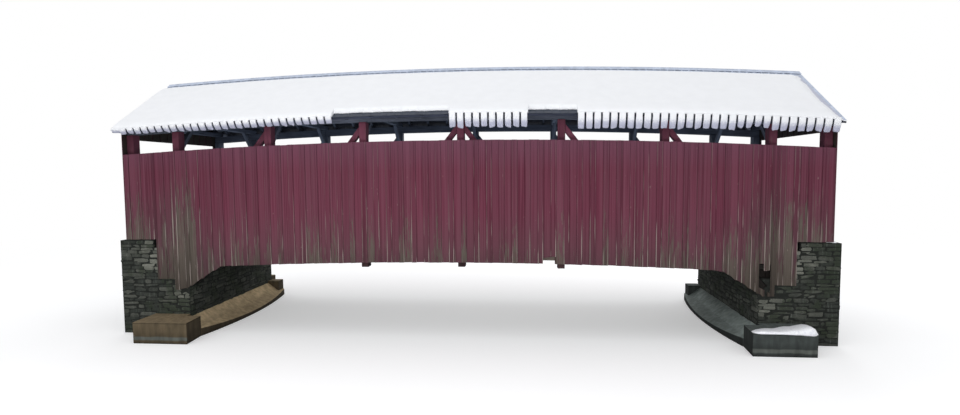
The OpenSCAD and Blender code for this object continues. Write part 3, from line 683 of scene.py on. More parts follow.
def field_stone(colours):
    """Split field stone: matt, blotched, mossy in patches, with lime streaks down the river face."""
    material, tree, shader, place = finish("mossy_field_stone", 0.9)
    tone = add(tree, "Attribute", attribute_name="tone").outputs["Fac"]
    # Blotches are about 140 mm across, and grit of a few millimetres is drawn 22 mm to show
    blot = add(tree, "TexNoise", {"Vector": place, "Scale": 7.0, "Detail": 6.0, "Roughness": 0.65})
    fine = add(tree, "TexNoise", {"Vector": place, "Scale": 45.0, "Detail": 4.0})
    mix = add(tree, "Math", [blot, 0.55, tone], operation="MULTIPLY_ADD")
    mask = add(tree, "MapRange", [mix, 0.30, 1.15])
    look = add(tree, "Mix", [mask, colours.stone, colours.stone_pale], data_type="RGBA")
    # Moss grows in patches of 0.6 m, and lime runs down in streaks 50 mm wide
    patch = add(tree, "TexNoise", {"Vector": place, "Scale": 1.6, "Detail": 5.0})
    green = add(tree, "MapRange", [patch, 0.48, 0.60, 0.0, 0.7], interpolation_type="SMOOTHSTEP")
    plain = add(tree, "MapRange", [tone, 0.45, 0.75, 1.0, 0.15])
    green = add(tree, "Math", [green, plain], operation="MULTIPLY")
    look = add(tree, "Mix", [green, look, colours.moss], data_type="RGBA")
    drip = add(tree, "Mapping", {"Vector": place, "Scale": (0.05, 0.06, 0.7)}, vector_type="TEXTURE")
    streak = add(tree, "TexNoise", {"Vector": drip, "Scale": 1.0, "Detail": 3.0})
    lime = add(tree, "MapRange", [streak, 0.60, 0.72, 0.0, 0.35])
    look = add(tree, "Mix", [lime, look, colours.concrete_band], data_type="RGBA")
    grit = add(tree, "MapRange", [fine, 0.3, 0.7, 0.75, 1.2])
    shade = add(tree, "VectorMath", [look, grit], operation="SCALE")
    bump = add(tree, "Bump", {"Height": blot, "Distance": 0.02, "Strength": 0.7})
    feed(tree, shader, {"Base Color": shade, "Normal": bump})
    return material


def wall_heart(colours):
    """Packed earth and small stones behind the face: nearly black, seen only in the joints."""
    material, tree, shader, place = finish("packed_rubble", 0.95)
    # Small stones, about 110 mm across
    cell = add(tree, "TexVoronoi", {"Vector": place, "Scale": 9.0})
    tint = add(tree, "ValToRGB", [cell], stops=((0.0, toned(colours.joint, 1.8)), (0.5, colours.joint)))
    bump = add(tree, "Bump", {"Height": cell, "Distance": 0.02}, invert=True)
    feed(tree, shader, {"Base Color": tint, "Normal": bump})
    return material


def cast_concrete(colours):
    """Old cast concrete: faint drips, a washed band over a damp foot, and a tan stain at the left, with
    painted light on what faces up and painted shade on the faces towards the stream.
    """
    material, tree, shader, place = finish("stained_cast_concrete", 0.9)
    x, y, z = add(tree, "SeparateXYZ", [place]).outputs
    # Drips are 120 mm wide and 0.7 m long, and blotches about 0.3 m across
    drip = add(tree, "Mapping", {"Vector": place, "Scale": (0.12, 0.12, 0.7)}, vector_type="TEXTURE")
    streak = add(tree, "TexNoise", {"Vector": drip, "Scale": 1.0, "Detail": 4.0})
    blot = add(tree, "TexNoise", {"Vector": place, "Scale": 3.0, "Detail": 6.0, "Roughness": 0.6})
    left = add(tree, "MapRange", [x, -7.0, -7.8, 0.0, 0.85])
    shade = add(tree, "Mix", [left, colours.concrete, colours.rust_stain], data_type="RGBA")
    # High water has washed a band on the near faces of the blocks, 0.11 to 0.21 m up
    ragged = add(tree, "Math", [blot, 0.08, z], operation="MULTIPLY_ADD")
    off = add(tree, "Math", [ragged, 0.20], operation="SUBTRACT")
    off = add(tree, "Math", [off], operation="ABSOLUTE")
    band = add(tree, "MapRange", [off, 0.070, 0.035, 0.0, 0.9])
    front = add(tree, "MapRange", [y, 0.07 - BLOCK_Y, 0.02 - BLOCK_Y])
    band = add(tree, "Math", [band, front], operation="MULTIPLY")
    shade = add(tree, "Mix", [band, shade, colours.concrete_band], data_type="RGBA")
    # Painted light makes what faces up paler than the walls, and moss darkens the tops of the blocks
    facing = add(tree, "SeparateXYZ", [add(tree, "NewGeometry").outputs["True Normal"]]).outputs
    painted_top_light = add(tree, "MapRange", [facing[2], 0.3, 0.8, 0.62, 3.6])
    kerb = add(tree, "MapRange", [z, 0.24, 0.40, 0.95, 1.3])
    mossy = add(tree, "MapRange", [z, BLOCK_Z - 0.05, BLOCK_Z - 0.01, 1.0, 0.35])
    # Painted shade darkens the faces towards the stream, and the foot stays wet and dark
    painted_side_shade = add(tree, "Math", [facing[0]], operation="ABSOLUTE")
    painted_side_shade = add(tree, "MapRange", [painted_side_shade, 0.75, 0.95, 1.0, 0.6])
    foot = add(tree, "MapRange", [z, 0.02, 0.10, 0.6, 1.0])
    drips = add(tree, "MapRange", [streak, 0.38, 0.62, 0.80, 1.10])
    spots = add(tree, "MapRange", [blot, 0.3, 0.7, 0.82, 1.15])
    for level in (drips, foot, spots, painted_top_light, kerb, mossy, painted_side_shade):
        shade = add(tree, "VectorMath", [shade, level], operation="SCALE")
    bump = add(tree, "Bump", {"Height": blot, "Distance": 0.008, "Strength": 0.5})
    feed(tree, shader, {"Base Color": shade, "Normal": bump})
    return material


def rusty_iron(colours):
    """Forged iron under a skin of rust: matt brown, with darker pits."""
    material, tree, shader, place = finish("rusty_forged_iron", 0.75, metallic=0.35)
    # Pits of 2 to 4 mm are drawn 17 mm to show
    pit = add(tree, "TexNoise", {"Vector": place, "Scale": 60.0, "Detail": 4.0})
    dark, pale = toned(colours.iron, 0.6), toned(colours.iron, 1.5)
    tint = add(tree, "ValToRGB", [pit], stops=((0.35, dark), (0.65, pale)))
    feed(tree, shader, {"Base Color": tint})
    return material


def dress(nodes, material, arris):
    """Gives carried-over pieces their finish and, with live modifiers, edges worn by arris."""
    for name in nodes:
        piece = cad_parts[name]
        piece.data.materials.clear()
        piece.data.materials.append(material)
        if arris:
            piece.modifiers.new("join", "WELD").merge_threshold = 0.0001
            flat = piece.modifiers.new("flat", "DECIMATE")
            flat.decimate_type = "DISSOLVE"
            flat.angle_limit = math.radians(0.5)
            worn = piece.modifiers.new("worn", "BEVEL")
            worn.width = arris
            worn.segments = 1
            worn.limit_method = "ANGLE"
            worn.angle_limit = math.radians(35)


# Operators

class BRIDGE_OT_stage(Operator):
    """Sets the floor, the soft light and the camera at the photograph's viewing angle"""
    bl_idname = "bridge.stage"
    bl_label = "Stage"

    def execute(self, context):
        scene = context.scene
        scene.view_settings.view_transform = "Standard"
        world = bpy.data.worlds.new("studio")
        world.use_nodes = True
        scene.world = world
        tree = world.node_tree
        tree.nodes.clear()
        rays = add(tree, "LightPath").outputs
        seen = add(tree, "Math", [rays["Is Camera Ray"], rays["Is Glossy Ray"]], operation="MAXIMUM")
        seen = add(tree, "Math", [seen, rays["Is Transmission Ray"]], operation="MAXIMUM")
        soft = add(tree, "Background", {"Color": (0.97, 0.98, 1), "Strength": 0.84})
        white = add(tree, "Background", {"Color": (1, 1, 1), "Strength": 1.0})
        both = add(tree, "MixShader", [seen, soft, white])
        add(tree, "OutputWorld", {"Surface": both})
        # Floor: darker for the light that it throws up than for the eye, and white in the distance
        floor = bpy.data.materials.new("pale_floor")
        floor.use_nodes = True
        tree = floor.node_tree
        tree.nodes.clear()
        cloth = add(tree, "BsdfDiffuse", {"Color": (0.42, 0.43, 0.45)})
        shown = add(tree, "BsdfDiffuse", {"Color": (0.80, 0.80, 0.80)})
        glow = add(tree, "Emission", {"Color": (1, 1, 1), "Strength": 0.30})
        lit = add(tree, "AddShader", [shown, glow])
        far = add(tree, "NewGeometry").outputs["Position"]
        far = add(tree, "VectorMath", [far], operation="LENGTH")
        far = add(tree, "MapRange", [far, 13.0, 40.0], interpolation_type="SMOOTHSTEP")
        bright = add(tree, "Emission", {"Color": (1, 1, 1), "Strength": 1.0})
        lit = add(tree, "MixShader", [far, lit, bright])
        seen = add(tree, "LightPath").outputs["Is Camera Ray"]
        both = add(tree, "MixShader", [seen, cloth, lit])
        add(tree, "OutputMaterial", {"Surface": both})
        edge, below = np.array([-220.0, 220.0]), -0.003
        points, faces, _ = sheet(points_at(edge, edge[:, None], below))
        mesh = bpy.data.meshes.new("floor")
        mesh.from_pydata(points.tolist(), [], faces[0].tolist())
        mesh.materials.append(floor)
        ground = bpy.data.objects.new("floor", mesh)
        scene.collection.objects.link(ground)
        # The lamp in the roof has the colour of the sky, which lights the timbers there
        white, sky = (1, 1, 1), (0.74, 0.86, 1)
        for name, place, aim, size, power, tint in (
                ("key", (-9, -28, 14), (0, 0, 4), (26, 12), 1150, white),
                ("low", (0, -13, 0.6), (0, 0, 7), (24, 5), 1330, white),
                ("top", (0, -2, 24), (0, 0, 0), (30, 14), 480, white),
                ("loft", (0, 0, 4.2), (0, 0, 9), (20, 3), 200, sky),
                ("back", (10, 27, 15), (0, 0, 5), (24, 10), 2200, white)):
            lamp = bpy.data.lights.new(name, "AREA")
            lamp.color = tint
            lamp.shape = "RECTANGLE"
            lamp.size, lamp.size_y = size
            lamp.energy = power
            holder = bpy.data.objects.new(name, lamp)
            holder.location = place
            holder.rotation_euler = (Vector(aim) - Vector(place)).to_track_quat("-Z", "Y").to_euler()
            holder.visible_camera = False
            scene.collection.objects.link(holder)
        # Camera fitted to the posts, the siding's edges, the eave and the ridge
        yaw, pitch, roll = (math.radians(degrees) for degrees in (4.883, 3.796, -0.386))
        eye = (1.997, -19.203, 5.162)
        focal, across = 544.4, 960  # in pixels of the photograph
        level = Vector((-math.sin(yaw), math.cos(yaw), 0))
        ahead = level * math.cos(pitch) - Vector((0, 0, math.sin(pitch)))
        right = Vector((math.cos(yaw), math.sin(yaw), 0))
        up = right.cross(ahead)
        side = right * math.cos(roll) + up * math.sin(roll)
        top = up * math.cos(roll) - right * math.sin(roll)
        lens = bpy.data.cameras.new("camera")
        lens.sensor_width = 36
        lens.lens = 36 * focal / across
        lens.clip_end = 600
        camera = bpy.data.objects.new("camera", lens)
        turn = Matrix((side, top, -ahead)).transposed()
        camera.matrix_world = Matrix.Translation(eye) @ turn.to_4x4()
        scene.collection.objects.link(camera)
        scene.camera = camera
        return {"FINISHED"}


class BRIDGE_OT_timbers(Operator):
    """Gives the trusses, arches, beams and roof timbers their sawn and worn finish, with painted shade on
    the timbers under the roof
    """
    bl_idname = "bridge.timbers"
    bl_label = "Timbers"

    def execute(self, context):
        sizes, colours = context.scene.bridge_sizes, context.scene.bridge_colours
        # Outside, the near truss has worn red paint; under the roof all carries a painted blue-black shade
        sawn = (colours.timber, colours.timber_pale)
        painted_shade_tones = (colours.loft, toned(colours.loft, 1.3))
        # Fibres are 2 to 4 mm wide, drawn 18 mm wide so that they show, and run for about 0.6 m
        fine, run = 0.018, 0.6
        along, across, upright = (run, fine, fine), (fine, run, fine), (fine, fine, run)
        slant = {"fold": X, "turn": (0, math.radians(53.4), 0)}
        pitched = {"fold": Y, "turn": (-PITCH, 0, 0)}
        kneed = {"fold": Y, "turn": (math.radians(-45), 0, 0)}
        red = {"coat": colours.post_paint}
        for name, tones, grain, how, nodes in (
                ("sawn_timber_along", sawn, along, {}, (
                    "lower_chord_near", "lower_chord_far", "floor_joists", "siding_rails_near",
                    "siding_rails_far")),
                ("sawn_timber_across", sawn, across, {}, (
                    "floor_beams", "bed_timbers_left", "bed_timbers_right")),
                ("sawn_timber_arched", sawn, along, {"arch": True}, ("arches_near", "arches_far")),
                ("painted_timber_upright", sawn, upright, red, ("posts_near",)),
                ("painted_timber_slanting", sawn, along, {**slant, **red}, ("braces_near",)),
                ("timber_in_painted_shade_upright", painted_shade_tones, upright, {}, ("posts_far",)),
                ("timber_in_painted_shade_slanting", painted_shade_tones, along, slant, ("braces_far",)),
                ("timber_in_painted_shade_along", painted_shade_tones, along, {}, ("upper_chord_near", "upper_chord_far")),
                ("timber_in_painted_shade_across", painted_shade_tones, across, {}, ("tie_beams",)),
                ("timber_in_painted_shade_rafter", painted_shade_tones, across, pitched, ("rafters_near", "rafters_far")),
                ("timber_in_painted_shade_knee", painted_shade_tones, across, kneed, ("knee_braces",)),
                ("trodden_timber", (colours.plank, colours.timber_pale), along, {}, ("wheel_guards",))):
            dress(nodes, sawn_timber(name, *tones, grain, **how), sizes.arris)
        dress(("roof_laths_near", "roof_laths_far"), bpy.data.materials["timber_in_painted_shade_along"], 0)
        # The eave board's blue-black is painted shade under the drip edge
        trim = (colours.trim, toned(colours.trim, 1.4))
        trim = sawn_timber("eave_board_in_painted_shade", *trim, along, roughness=0.6)
        dress(("eave_board_near", "eave_board_far"), trim, sizes.arris / 2)
        return {"FINISHED"}


class BRIDGE_OT_siding(Operator):
    """Boards both long sides, with the broken places of the near side"""
    bl_idname = "bridge.siding"
    bl_label = "Siding"

    def execute(self, context):
        sizes, colours = context.scene.bridge_sizes, context.scene.bridge_colours
        material = painted_boards(colours)
        iron = rusty_iron(colours)

        def wear_top(x):
            """Height from which the wear grows downwards: highest over the arches' feet."""
            at, high = (7.5, 8.3, 8.7, 9.2, 9.8), (4.15, 4.5, 5.5, 5.4, 4.9)
            return np.interp(np.abs(x), at, high)

        for side, sign, seed in (("near", -1, 5), ("far", 1, 6)):
            rng = np.random.default_rng(seed)
            rows = board_rows(sizes, SIDING_HALF, seed)
            cuts = [way * x for way in (-1, 1) for x in STEPS_X]
            rows = split(rows, cuts + (list(HOLE_X) if sign < 0 else []))
            left, right = rows["left"], rows["right"]
            # Each board's foot is uneven, at four places along it
            rim = 0.0015
            inset = np.minimum(0.016, (right - left) * 0.4)
            spots = np.stack([left + rim, left + inset, right - inset, right - rim], -1)
            count = len(left)
            low = edge_low(spots) + rng.normal(0, 0.004, count)[:, None]
            low = low + rng.normal(0, 0.0015, (count, 4))
            high = SIDING_HIGH - drop(np.stack([left, right], -1))
            high = high + rng.normal(0, 0.002, count)[:, None]
            middle = (left + right) / 2
            torn = rng.normal(0, 0.03, (count, 4))
            if sign < 0:
                # Two broken places: a notch in the lower edge, and a hole over the arch's right
                # foot, where stubs with slanting tops are left and the boards over joints are longer
                notch = (middle > NOTCH_X[0]) & (middle < NOTCH_X[1])
                low = np.where(notch[:, None], NOTCH_TOP + 0.6 * torn, low)
                hole = (middle > HOLE_X[0]) & (middle < HOLE_X[1])
                over = hole & (rows["batten"] > 0)
                gap = hole & ~over
                stub = pick(rows, gap)
                stub_low = low[gap]
                slant = np.stack([stub["left"], stub["right"]], -1)
                stub_high = HOLE_Z[0] - 0.02 - 0.55 * (slant - HOLE_X[0])
                low = np.where(gap[:, None], HOLE_Z[1] + 0.4 * torn, low)
                low = np.where(over[:, None], HOLE_Z[1] - 0.18 + 1.3 * torn, low)
                rows = joined(rows, stub)
                low = np.concatenate([low, stub_low])
                high = np.concatenate([high, stub_high])
                middle = np.concatenate([middle, (stub["left"] + stub["right"]) / 2])

            def place(across, out, z):
                return points_at(across, sign * out, z)

            for label, chosen in (
                    ("left", middle < -FLARE_X), ("middle", np.abs(middle) <= FLARE_X),
                    ("right", middle > FLARE_X)):
                boards = planed_boards(
                    pick(rows, chosen), low[chosen], high[chosen], place, wear_top, seed)
                put(f"boards_{side}_{label}", [boards], material, (f"siding_{side}_{label}",))
            # Pairs of nails where the boards over the joints cross a rail
            over = rows["batten"] > 0
            x = middle[over][:, None, None]
            base = low[over].max(1)[:, None, None]
            grid = points_at(
                x + np.array([-0.05, 0.05]), sign * (SIDING_Y + sizes.board_thick + sizes.batten_thick),
                np.array(RAIL_ROWS)[:, None] - drop(x))
            held = grid[..., Z] > base + 0.03
            nails = studs(grid[held], np.array([[0, sign, 0.0]]), 0.006, 0.003)
            put(f"nails_{side}", [nails], iron)
        return {"FINISHED"}


class BRIDGE_OT_gables(Operator):
    """Boards both gables and the jambs beside the road's openings"""
    bl_idname = "bridge.gables"
    bl_label = "Gables"

    def execute(self, context):
        sizes = context.scene.bridge_sizes
        material = bpy.data.materials["wine_red_oil_paint_on_boards"]
        clear = 0.002
        top = RIDGE_Z - drop(ROOF_HALF) - clear - (SHEET + LATH) / LEAN
        shift = SIDING_HALF - SIDING_Y
        jambs = []
        for side, sign in (("left", -1), ("right", 1)):
            rows = board_rows(sizes, SIDING_Y + 0.024, 11 + sign)
            rows = split(rows, [-PORTAL_HALF, 0.0, PORTAL_HALF])
            rows["inner"] = rows["inner"] + shift
            rows["outer"] = rows["outer"] + shift
            left, right = rows["left"], rows["right"]
            ends = np.stack([left, right], -1)
            high = top - np.abs(ends) * SLOPE
            low = np.full((len(left), 4), PORTAL_Z)

            def place(across, out, z):
                return points_at(sign * out, across, z)

            def wear_top(y):
                """Height from which the wear grows downwards, the same across the bridge."""
                return np.full(np.shape(y), 4.2)

            gable = planed_boards(rows, low, high, place, wear_top, 21)
            put(f"boards_gable_{side}", [gable], material, (f"gable_{side}",))
            beside = np.abs(left + right) / 2 > PORTAL_HALF
            rows = pick(rows, beside)
            low = np.full((beside.sum(), 4), JAMB_LOW)
            high = np.full((beside.sum(), 2), PORTAL_Z)
            jambs.append(planed_boards(rows, low, high, place, wear_top, 22))
        put("boards_jambs", jambs, material, ("portal_jambs",))
        return {"FINISHED"}


class BRIDGE_OT_deck(Operator):
    """Lays the deck planks across the joists, each a six-sided section carried across the road"""
    bl_idname = "bridge.deck"
    bl_label = "Deck"

    def execute(self, context):
        sizes, colours = context.scene.bridge_sizes, context.scene.bridge_colours
        rng = np.random.default_rng(31)
        count = round(2 * SIDING_HALF / sizes.plank_pitch)
        edge = np.linspace(-SIDING_HALF, SIDING_HALF, count + 1)
        joint, ease = 0.003, 0.006
        half = (edge[1:] - edge[:-1]) / 2 - joint
        middle = (edge[1:] + edge[:-1]) / 2
        across = np.array([-1, -1, -1, 1, 1, 1.0])
        inset = np.array([0, 0, ease, -ease, 0, 0])
        level = np.array([0, 1, 1, 1, 1, 0.0])
        lower = np.array([0, ease, 0, 0, ease, 0])
        x = middle[:, None] + half[:, None] * across + inset
        z = DECK_Z[0] + (DECK_Z[1] - DECK_Z[0]) * level - lower - drop(x)
        reach = DECK_HALF - 0.004 - rng.random(count) * 0.02
        y = reach[:, None] * np.array([-1, -0.5, 0, 0.5, 1])
        rings = points_at(x[:, None], y[:, :, None], z[:, None])
        planks = tubes(rings, tone=rng.random(count)[:, None, None])
        put("deck_planks", [planks], trodden_planks(colours), ("deck",))
        return {"FINISHED"}


class BRIDGE_OT_roofing(Operator):
    """Lays the ribbed steel sheets and the ridge cap"""
    bl_idname = "bridge.roofing"
    bl_label = "Roofing"

    def execute(self, context):
        sizes, colours = context.scene.bridge_sizes, context.scene.bridge_colours
        steel = painted_steel("painted_roof_steel", colours, 0.75)
        rib = rib_rows(sizes)
        y = np.array([0.004, 1.0, 2.0, 3.05, EAVE_Y])[:, None]
        crest = np.array([1, 1, 1, 1, 0.15])[:, None]  # pressed flat at the drip edge
        # Half a rib's width at its foot and at its crown, and how far the flats lie below metal_z
        foot, crown, flat = 0.028, 0.012, 0.0185
        x = (rib[:, None] + np.array([-foot, -crown, crown, foot])).ravel()
        x = np.concatenate([-rake(y), np.broadcast_to(x, (len(y), len(x))), rake(y)], 1)
        lift = np.concatenate([[0], np.tile([0, 1.0, 1.0, 0], len(rib)), [0]])
        for side, sign in (("near", -1), ("far", 1)):
            z = metal_z(x, y) + (lift * crest * sizes.rib_height - flat) / LEAN
            parts = [sheet(points_at(x, sign * y, z))]
            piece = put(f"roof_sheet_{side}", parts, steel, (f"roof_{side}",))
            thick = piece.modifiers.new("thickness", "SOLIDIFY")
            thick.thickness = 0.0015
            thick.offset = -1
        # Ridge cap: two wings and a small roll, bent over the ribs and following the camber
        wing = np.array([-1, -0.2, -0.11, -0.05, 0, 0.05, 0.11, 0.2, 1]) * CAP_Y
        roll = np.array([0, 0, 0.002, 0.014, 0.020, 0.014, 0.002, 0, 0])
        outer = RIDGE_Z - np.abs(wing) * SLOPE + CAP_THICK * 0.8 + roll
        ring_y = np.concatenate([wing, wing[::-1]])
        ring_z = np.concatenate([outer, outer[::-1] - 0.002])
        run = np.linspace(-1, 1, 75) * (ROOF_HALF + RIDGE_REACH)
        rings = points_at(run[:, None], ring_y, ring_z - drop(run)[:, None])
        steel = painted_steel("painted_ridge_steel", colours, 1.2)
        put("ridge_roll", [tubes(rings[None])], steel, ("ridge_cap",))
        return {"FINISHED"}


class BRIDGE_OT_snow(Operator):
    """Lays the snow on both slopes, with the strips that hang at the eaves between the ribs"""
    bl_idname = "bridge.snow"
    bl_label = "Snow"

    def execute(self, context):
        sizes, colours = context.scene.bridge_sizes, context.scene.bridge_colours
        material = settled_snow(colours)
        ends = [-math.inf, *BARE[0], *BARE[1], math.inf]
        near = [self.blanket(sizes, -1, *ends[i:i + 2], i % 2 == 1) for i in range(5)]
        far = [self.blanket(sizes, 1, *ends[::5], False)]
        for side, parts in (("near", near + [self.strips(sizes)]), ("far", far)):
            put(f"snow_{side}", parts, material, (f"roof_snow_{side}",), smooth=True)
        return {"FINISHED"}

    def blanket(self, sizes, sign, start, stop, bare):
        """One length of the blanket: a section of depth over the distance from the ridge, thin at
        the top and rolled over the drip edge, or cut back in scallops where the eave is bare. It is
        carried along the ridge and rounded off at the roof's ends."""
        # Distance from the ridge, and depth square to the roof, drawn for snow 0.116 m deep
        y = np.array([SNOW_TOP_Y, 0.36, 0.42, 0.52, 0.70, 1.0, 1.5, 2.1, 2.6, 2.9])
        deep = np.array([0.004, 0.035, 0.060, 0.080, 0.100, 0.112, 0.116, 0.118, 0.118, 0.118])
        # Along the ridge the sections stand closer together where the blanket is rounded off
        span = min(stop, SNOW_HALF) - max(start, -SNOW_HALF)
        end = np.array([0, 0.004, 0.014, 0.03, 0.052, 0.08, 0.115, 0.16, 0.21, 0.27]) / span
        inner = 0.34 / span
        s = np.linspace(inner, 1 - inner, int(span / (0.03 if bare else 0.12)))
        s = np.concatenate([end, s, 1 - end[::-1]])[:, None]
        # The lip lies on a line that goes on beyond the drip edge at the roof's slope
        if bare:
            lip, lip_deep = [2.955, 2.99, 3.01, BARE_EDGE], [0.118, 0.108, 0.080, 0.020]
            under, under_deep = [3.0, 2.9, 0.45, SNOW_TOP_Y], [-0.012, 0.001, 0.001, -0.012]
        else:
            lip = [2.98, 3.06, 3.12, 3.17, 3.21, 3.235, 3.249, 3.254]
            lip_deep = [0.117, 0.115, 0.111, 0.104, 0.093, 0.080, 0.064, 0.045]
            under = [3.20, 3.185, 3.10, 0.45, SNOW_TOP_Y]
            under_deep = [0.012, 0.0025, 0.001, 0.001, -0.012]
        y = np.concatenate([y, lip, under])
        deep = np.concatenate([deep, lip_deep])
        # Set back at the right of the near slope, where a strip of frosted sheet shows
        thawed = sign < 0 and math.isinf(stop)
        wave = 0.18 + 0.034 * np.sin(y * 9.4 + 0.6) + 0.016 * np.sin(y * 19.0)
        wave = (wave if thawed else 0.02) * np.interp(y, [2.8, 3.15], [1.0, 0.7])
        left = -rake(y) + 0.012 if math.isinf(start) else np.full(len(y), start)
        right = rake(y) - 0.004 - wave if math.isinf(stop) else np.full(len(y), stop)
        x = left + (right - left) * s
        # Between the ribs a bare eave has scallops 18 mm deep, which wander by 8 mm
        scallop = 0.018 * np.abs(np.sin((x - FIRST_RIB) * math.pi / sizes.rib_pitch))
        scallop = scallop + 0.008 * np.sin(x * 7.7) - 0.010
        y = np.broadcast_to(y, x.shape) - scallop * bare * np.interp(y, [2.9, 2.99], [0, 1])
        tops = len(deep)
        xt, yt = x[:, :tops], y[:, :tops]
        inside = np.full(xt.shape, np.inf)
        for rim, edge in ((x - left, start), (right - x, stop)):
            rim = rim[:, :tops]
            if thawed and edge == stop:
                full = 0.06 + 0.94 * np.sin(np.clip(rim / 0.28, 0, 1) * math.pi / 2) ** 2
            else:
                curve, low = 0.05, np.interp(yt, [2.92, 3.2], [1.0, 0.72])
                if math.isinf(edge):
                    curve, low = 0.10, 0.10
                full = low + (1 - low) * np.sqrt(1 - (1 - np.clip(rim / curve, 0, 1)) ** 2)
            inside = np.minimum(inside, full)
        # Low drifts, about 3.7 m and 1.6 m long
        hill = 0.03 * np.sin(xt * 1.7 + yt * 2.3) + 0.02 * np.sin(xt * 3.9 - yt * 1.3 + 1.0)
        hill = 1 + np.interp(yt, [2.6, 3.1], [1, 0.3]) * hill
        top = deep * sizes.snow_depth / 0.116 * inside * hill
        # The blanket lies on the ribs, and sinks between them along its rims
        rim = np.minimum(x - left, right - x)
        sunk = np.interp(rim[:, tops:], [0.014, 0.03], [-0.013, 0])
        z = metal_z(x, y) + np.concatenate([top, under_deep + sunk], 1) / LEAN
        # Painted shade, grey-blue, along its thin upper edge, and at its end where it has thawed
        cold = np.interp(y, [0.33, 0.42], [0.5, 0.0])
        cold = np.maximum(cold, thawed * np.interp(right - x, [0, 0.12], [0.7, 0.0]))
        return tubes(points_at(x, sign * y, z)[None], ice=cold[None])

    def strips(self, sizes):
        """Strips between the ribs: a section with a flat front, hung from the lip of the blanket,
        thinning and curling in towards the wall."""
        rng = np.random.default_rng(42)
        rib = rib_rows(sizes)
        left = rib + sizes.slit / 2
        right = rib + sizes.rib_pitch - sizes.slit / 2
        # One short strip hangs at the left corner, wider than the others
        left, right = np.append(left, SNOW_ENDS[0] + 0.005), np.append(right, CORNER_X + 0.02)
        for start, stop in ((-math.inf, SNOW_ENDS[0]), *BARE, (SNOW_ENDS[1], math.inf)):
            left = np.where((left >= start) & (left < stop), stop, left)
            right = np.where((right > start) & (right <= stop), start, right)
        at_corner = right - left > sizes.rib_pitch
        held = (right - left > 0.04) & (at_corner | (right > CORNER_X + 0.03))
        short = at_corner[held]
        left, right = left[held], right[held]
        middle, half = (left + right) / 2, (right - left) / 2
        count = len(middle)
        hang = np.where(
            middle < BARE[0][0],
            sizes.short_curtain * np.interp(middle, [-10.4, -7.2, -4.0], [0.84, 1.08, 1.0]),
            sizes.long_curtain * np.interp(middle, [0.6, 3.7, 6.4, 10.6], [0.97, 1.07, 0.98, 0.84]))
        hang = hang * (1 + rng.normal(0, 0.035, count))
        pointed = (middle > 8.0) & (middle < 8.95)  # four strips taper to points
        hang = np.where(pointed, hang * (0.74 + 0.2 * rng.random(count)), hang)
        hang = np.where(short, 0.11, hang)
        # Sections from the lip down to the tip: how far down they are, and how thick
        step = np.array([0, 0.14, 0.30, 0.46, 0.62, 0.76, 0.88, 0.96, 1.0])
        thick = np.array([0.058, 0.056, 0.053, 0.049, 0.044, 0.039, 0.033, 0.026, 0.012])
        curl = np.minimum(np.where(middle < BARE[0][0], 0.14, 0.12), 0.7 * hang)
        curl = curl * (1 + rng.normal(0, 0.10, count))
        # Each starts inside the lip, a little above the drip edge
        above, front = 0.050, 3.256
        z = above - (hang[:, None] + above) * step
        y = front - 0.016 * np.clip(z / above, 0, 1)
        y = y - curl[:, None] * np.clip(-z / hang[:, None], 0, 1) ** 1.7
        # Width of the sections, for most strips and for the pointed ones
        taper = np.array([1, 1, 1, 1, 0.995, 0.985, 0.965, 0.92, 0.78])
        point = np.array([1, 1, 1, 0.98, 0.95, 0.90, 0.80, 0.68, 0.45])
        width = half[:, None] * np.where(pointed[:, None], point, taper)
        width = width * rng.normal(1, 0.018, z.shape)
        # Square to the path in the plane across the bridge, outwards
        along_y, along_z = np.gradient(y, axis=1), np.gradient(z, axis=1)
        size = np.hypot(along_y, along_z)
        out_y, out_z = -along_z / size, along_y / size
        corner = np.array([-1, -0.93, -0.7, 0, 0.7, 0.93, 1, 1, -1])
        face = np.array([0.55, 0.88, 1, 1, 1, 0.88, 0.55, 0.05, 0.05]) - 1
        tilt = rng.normal(0, 0.012, count)[:, None, None] * step[None, :, None] ** 2 * corner
        ragged = rng.normal(0, 0.004, (count, 1, 9)) * step[None, :, None] ** 2
        px = middle[:, None, None] + width[..., None] * corner
        deep = thick[None, :, None] * face
        py = y[..., None] + out_y[..., None] * deep
        pz = EAVE_Z - drop(middle)[:, None, None] + z[..., None] + out_z[..., None] * deep
        pz = pz + tilt + ragged
        return tubes(points_at(px, -py, pz), ice=step[None, :, None])


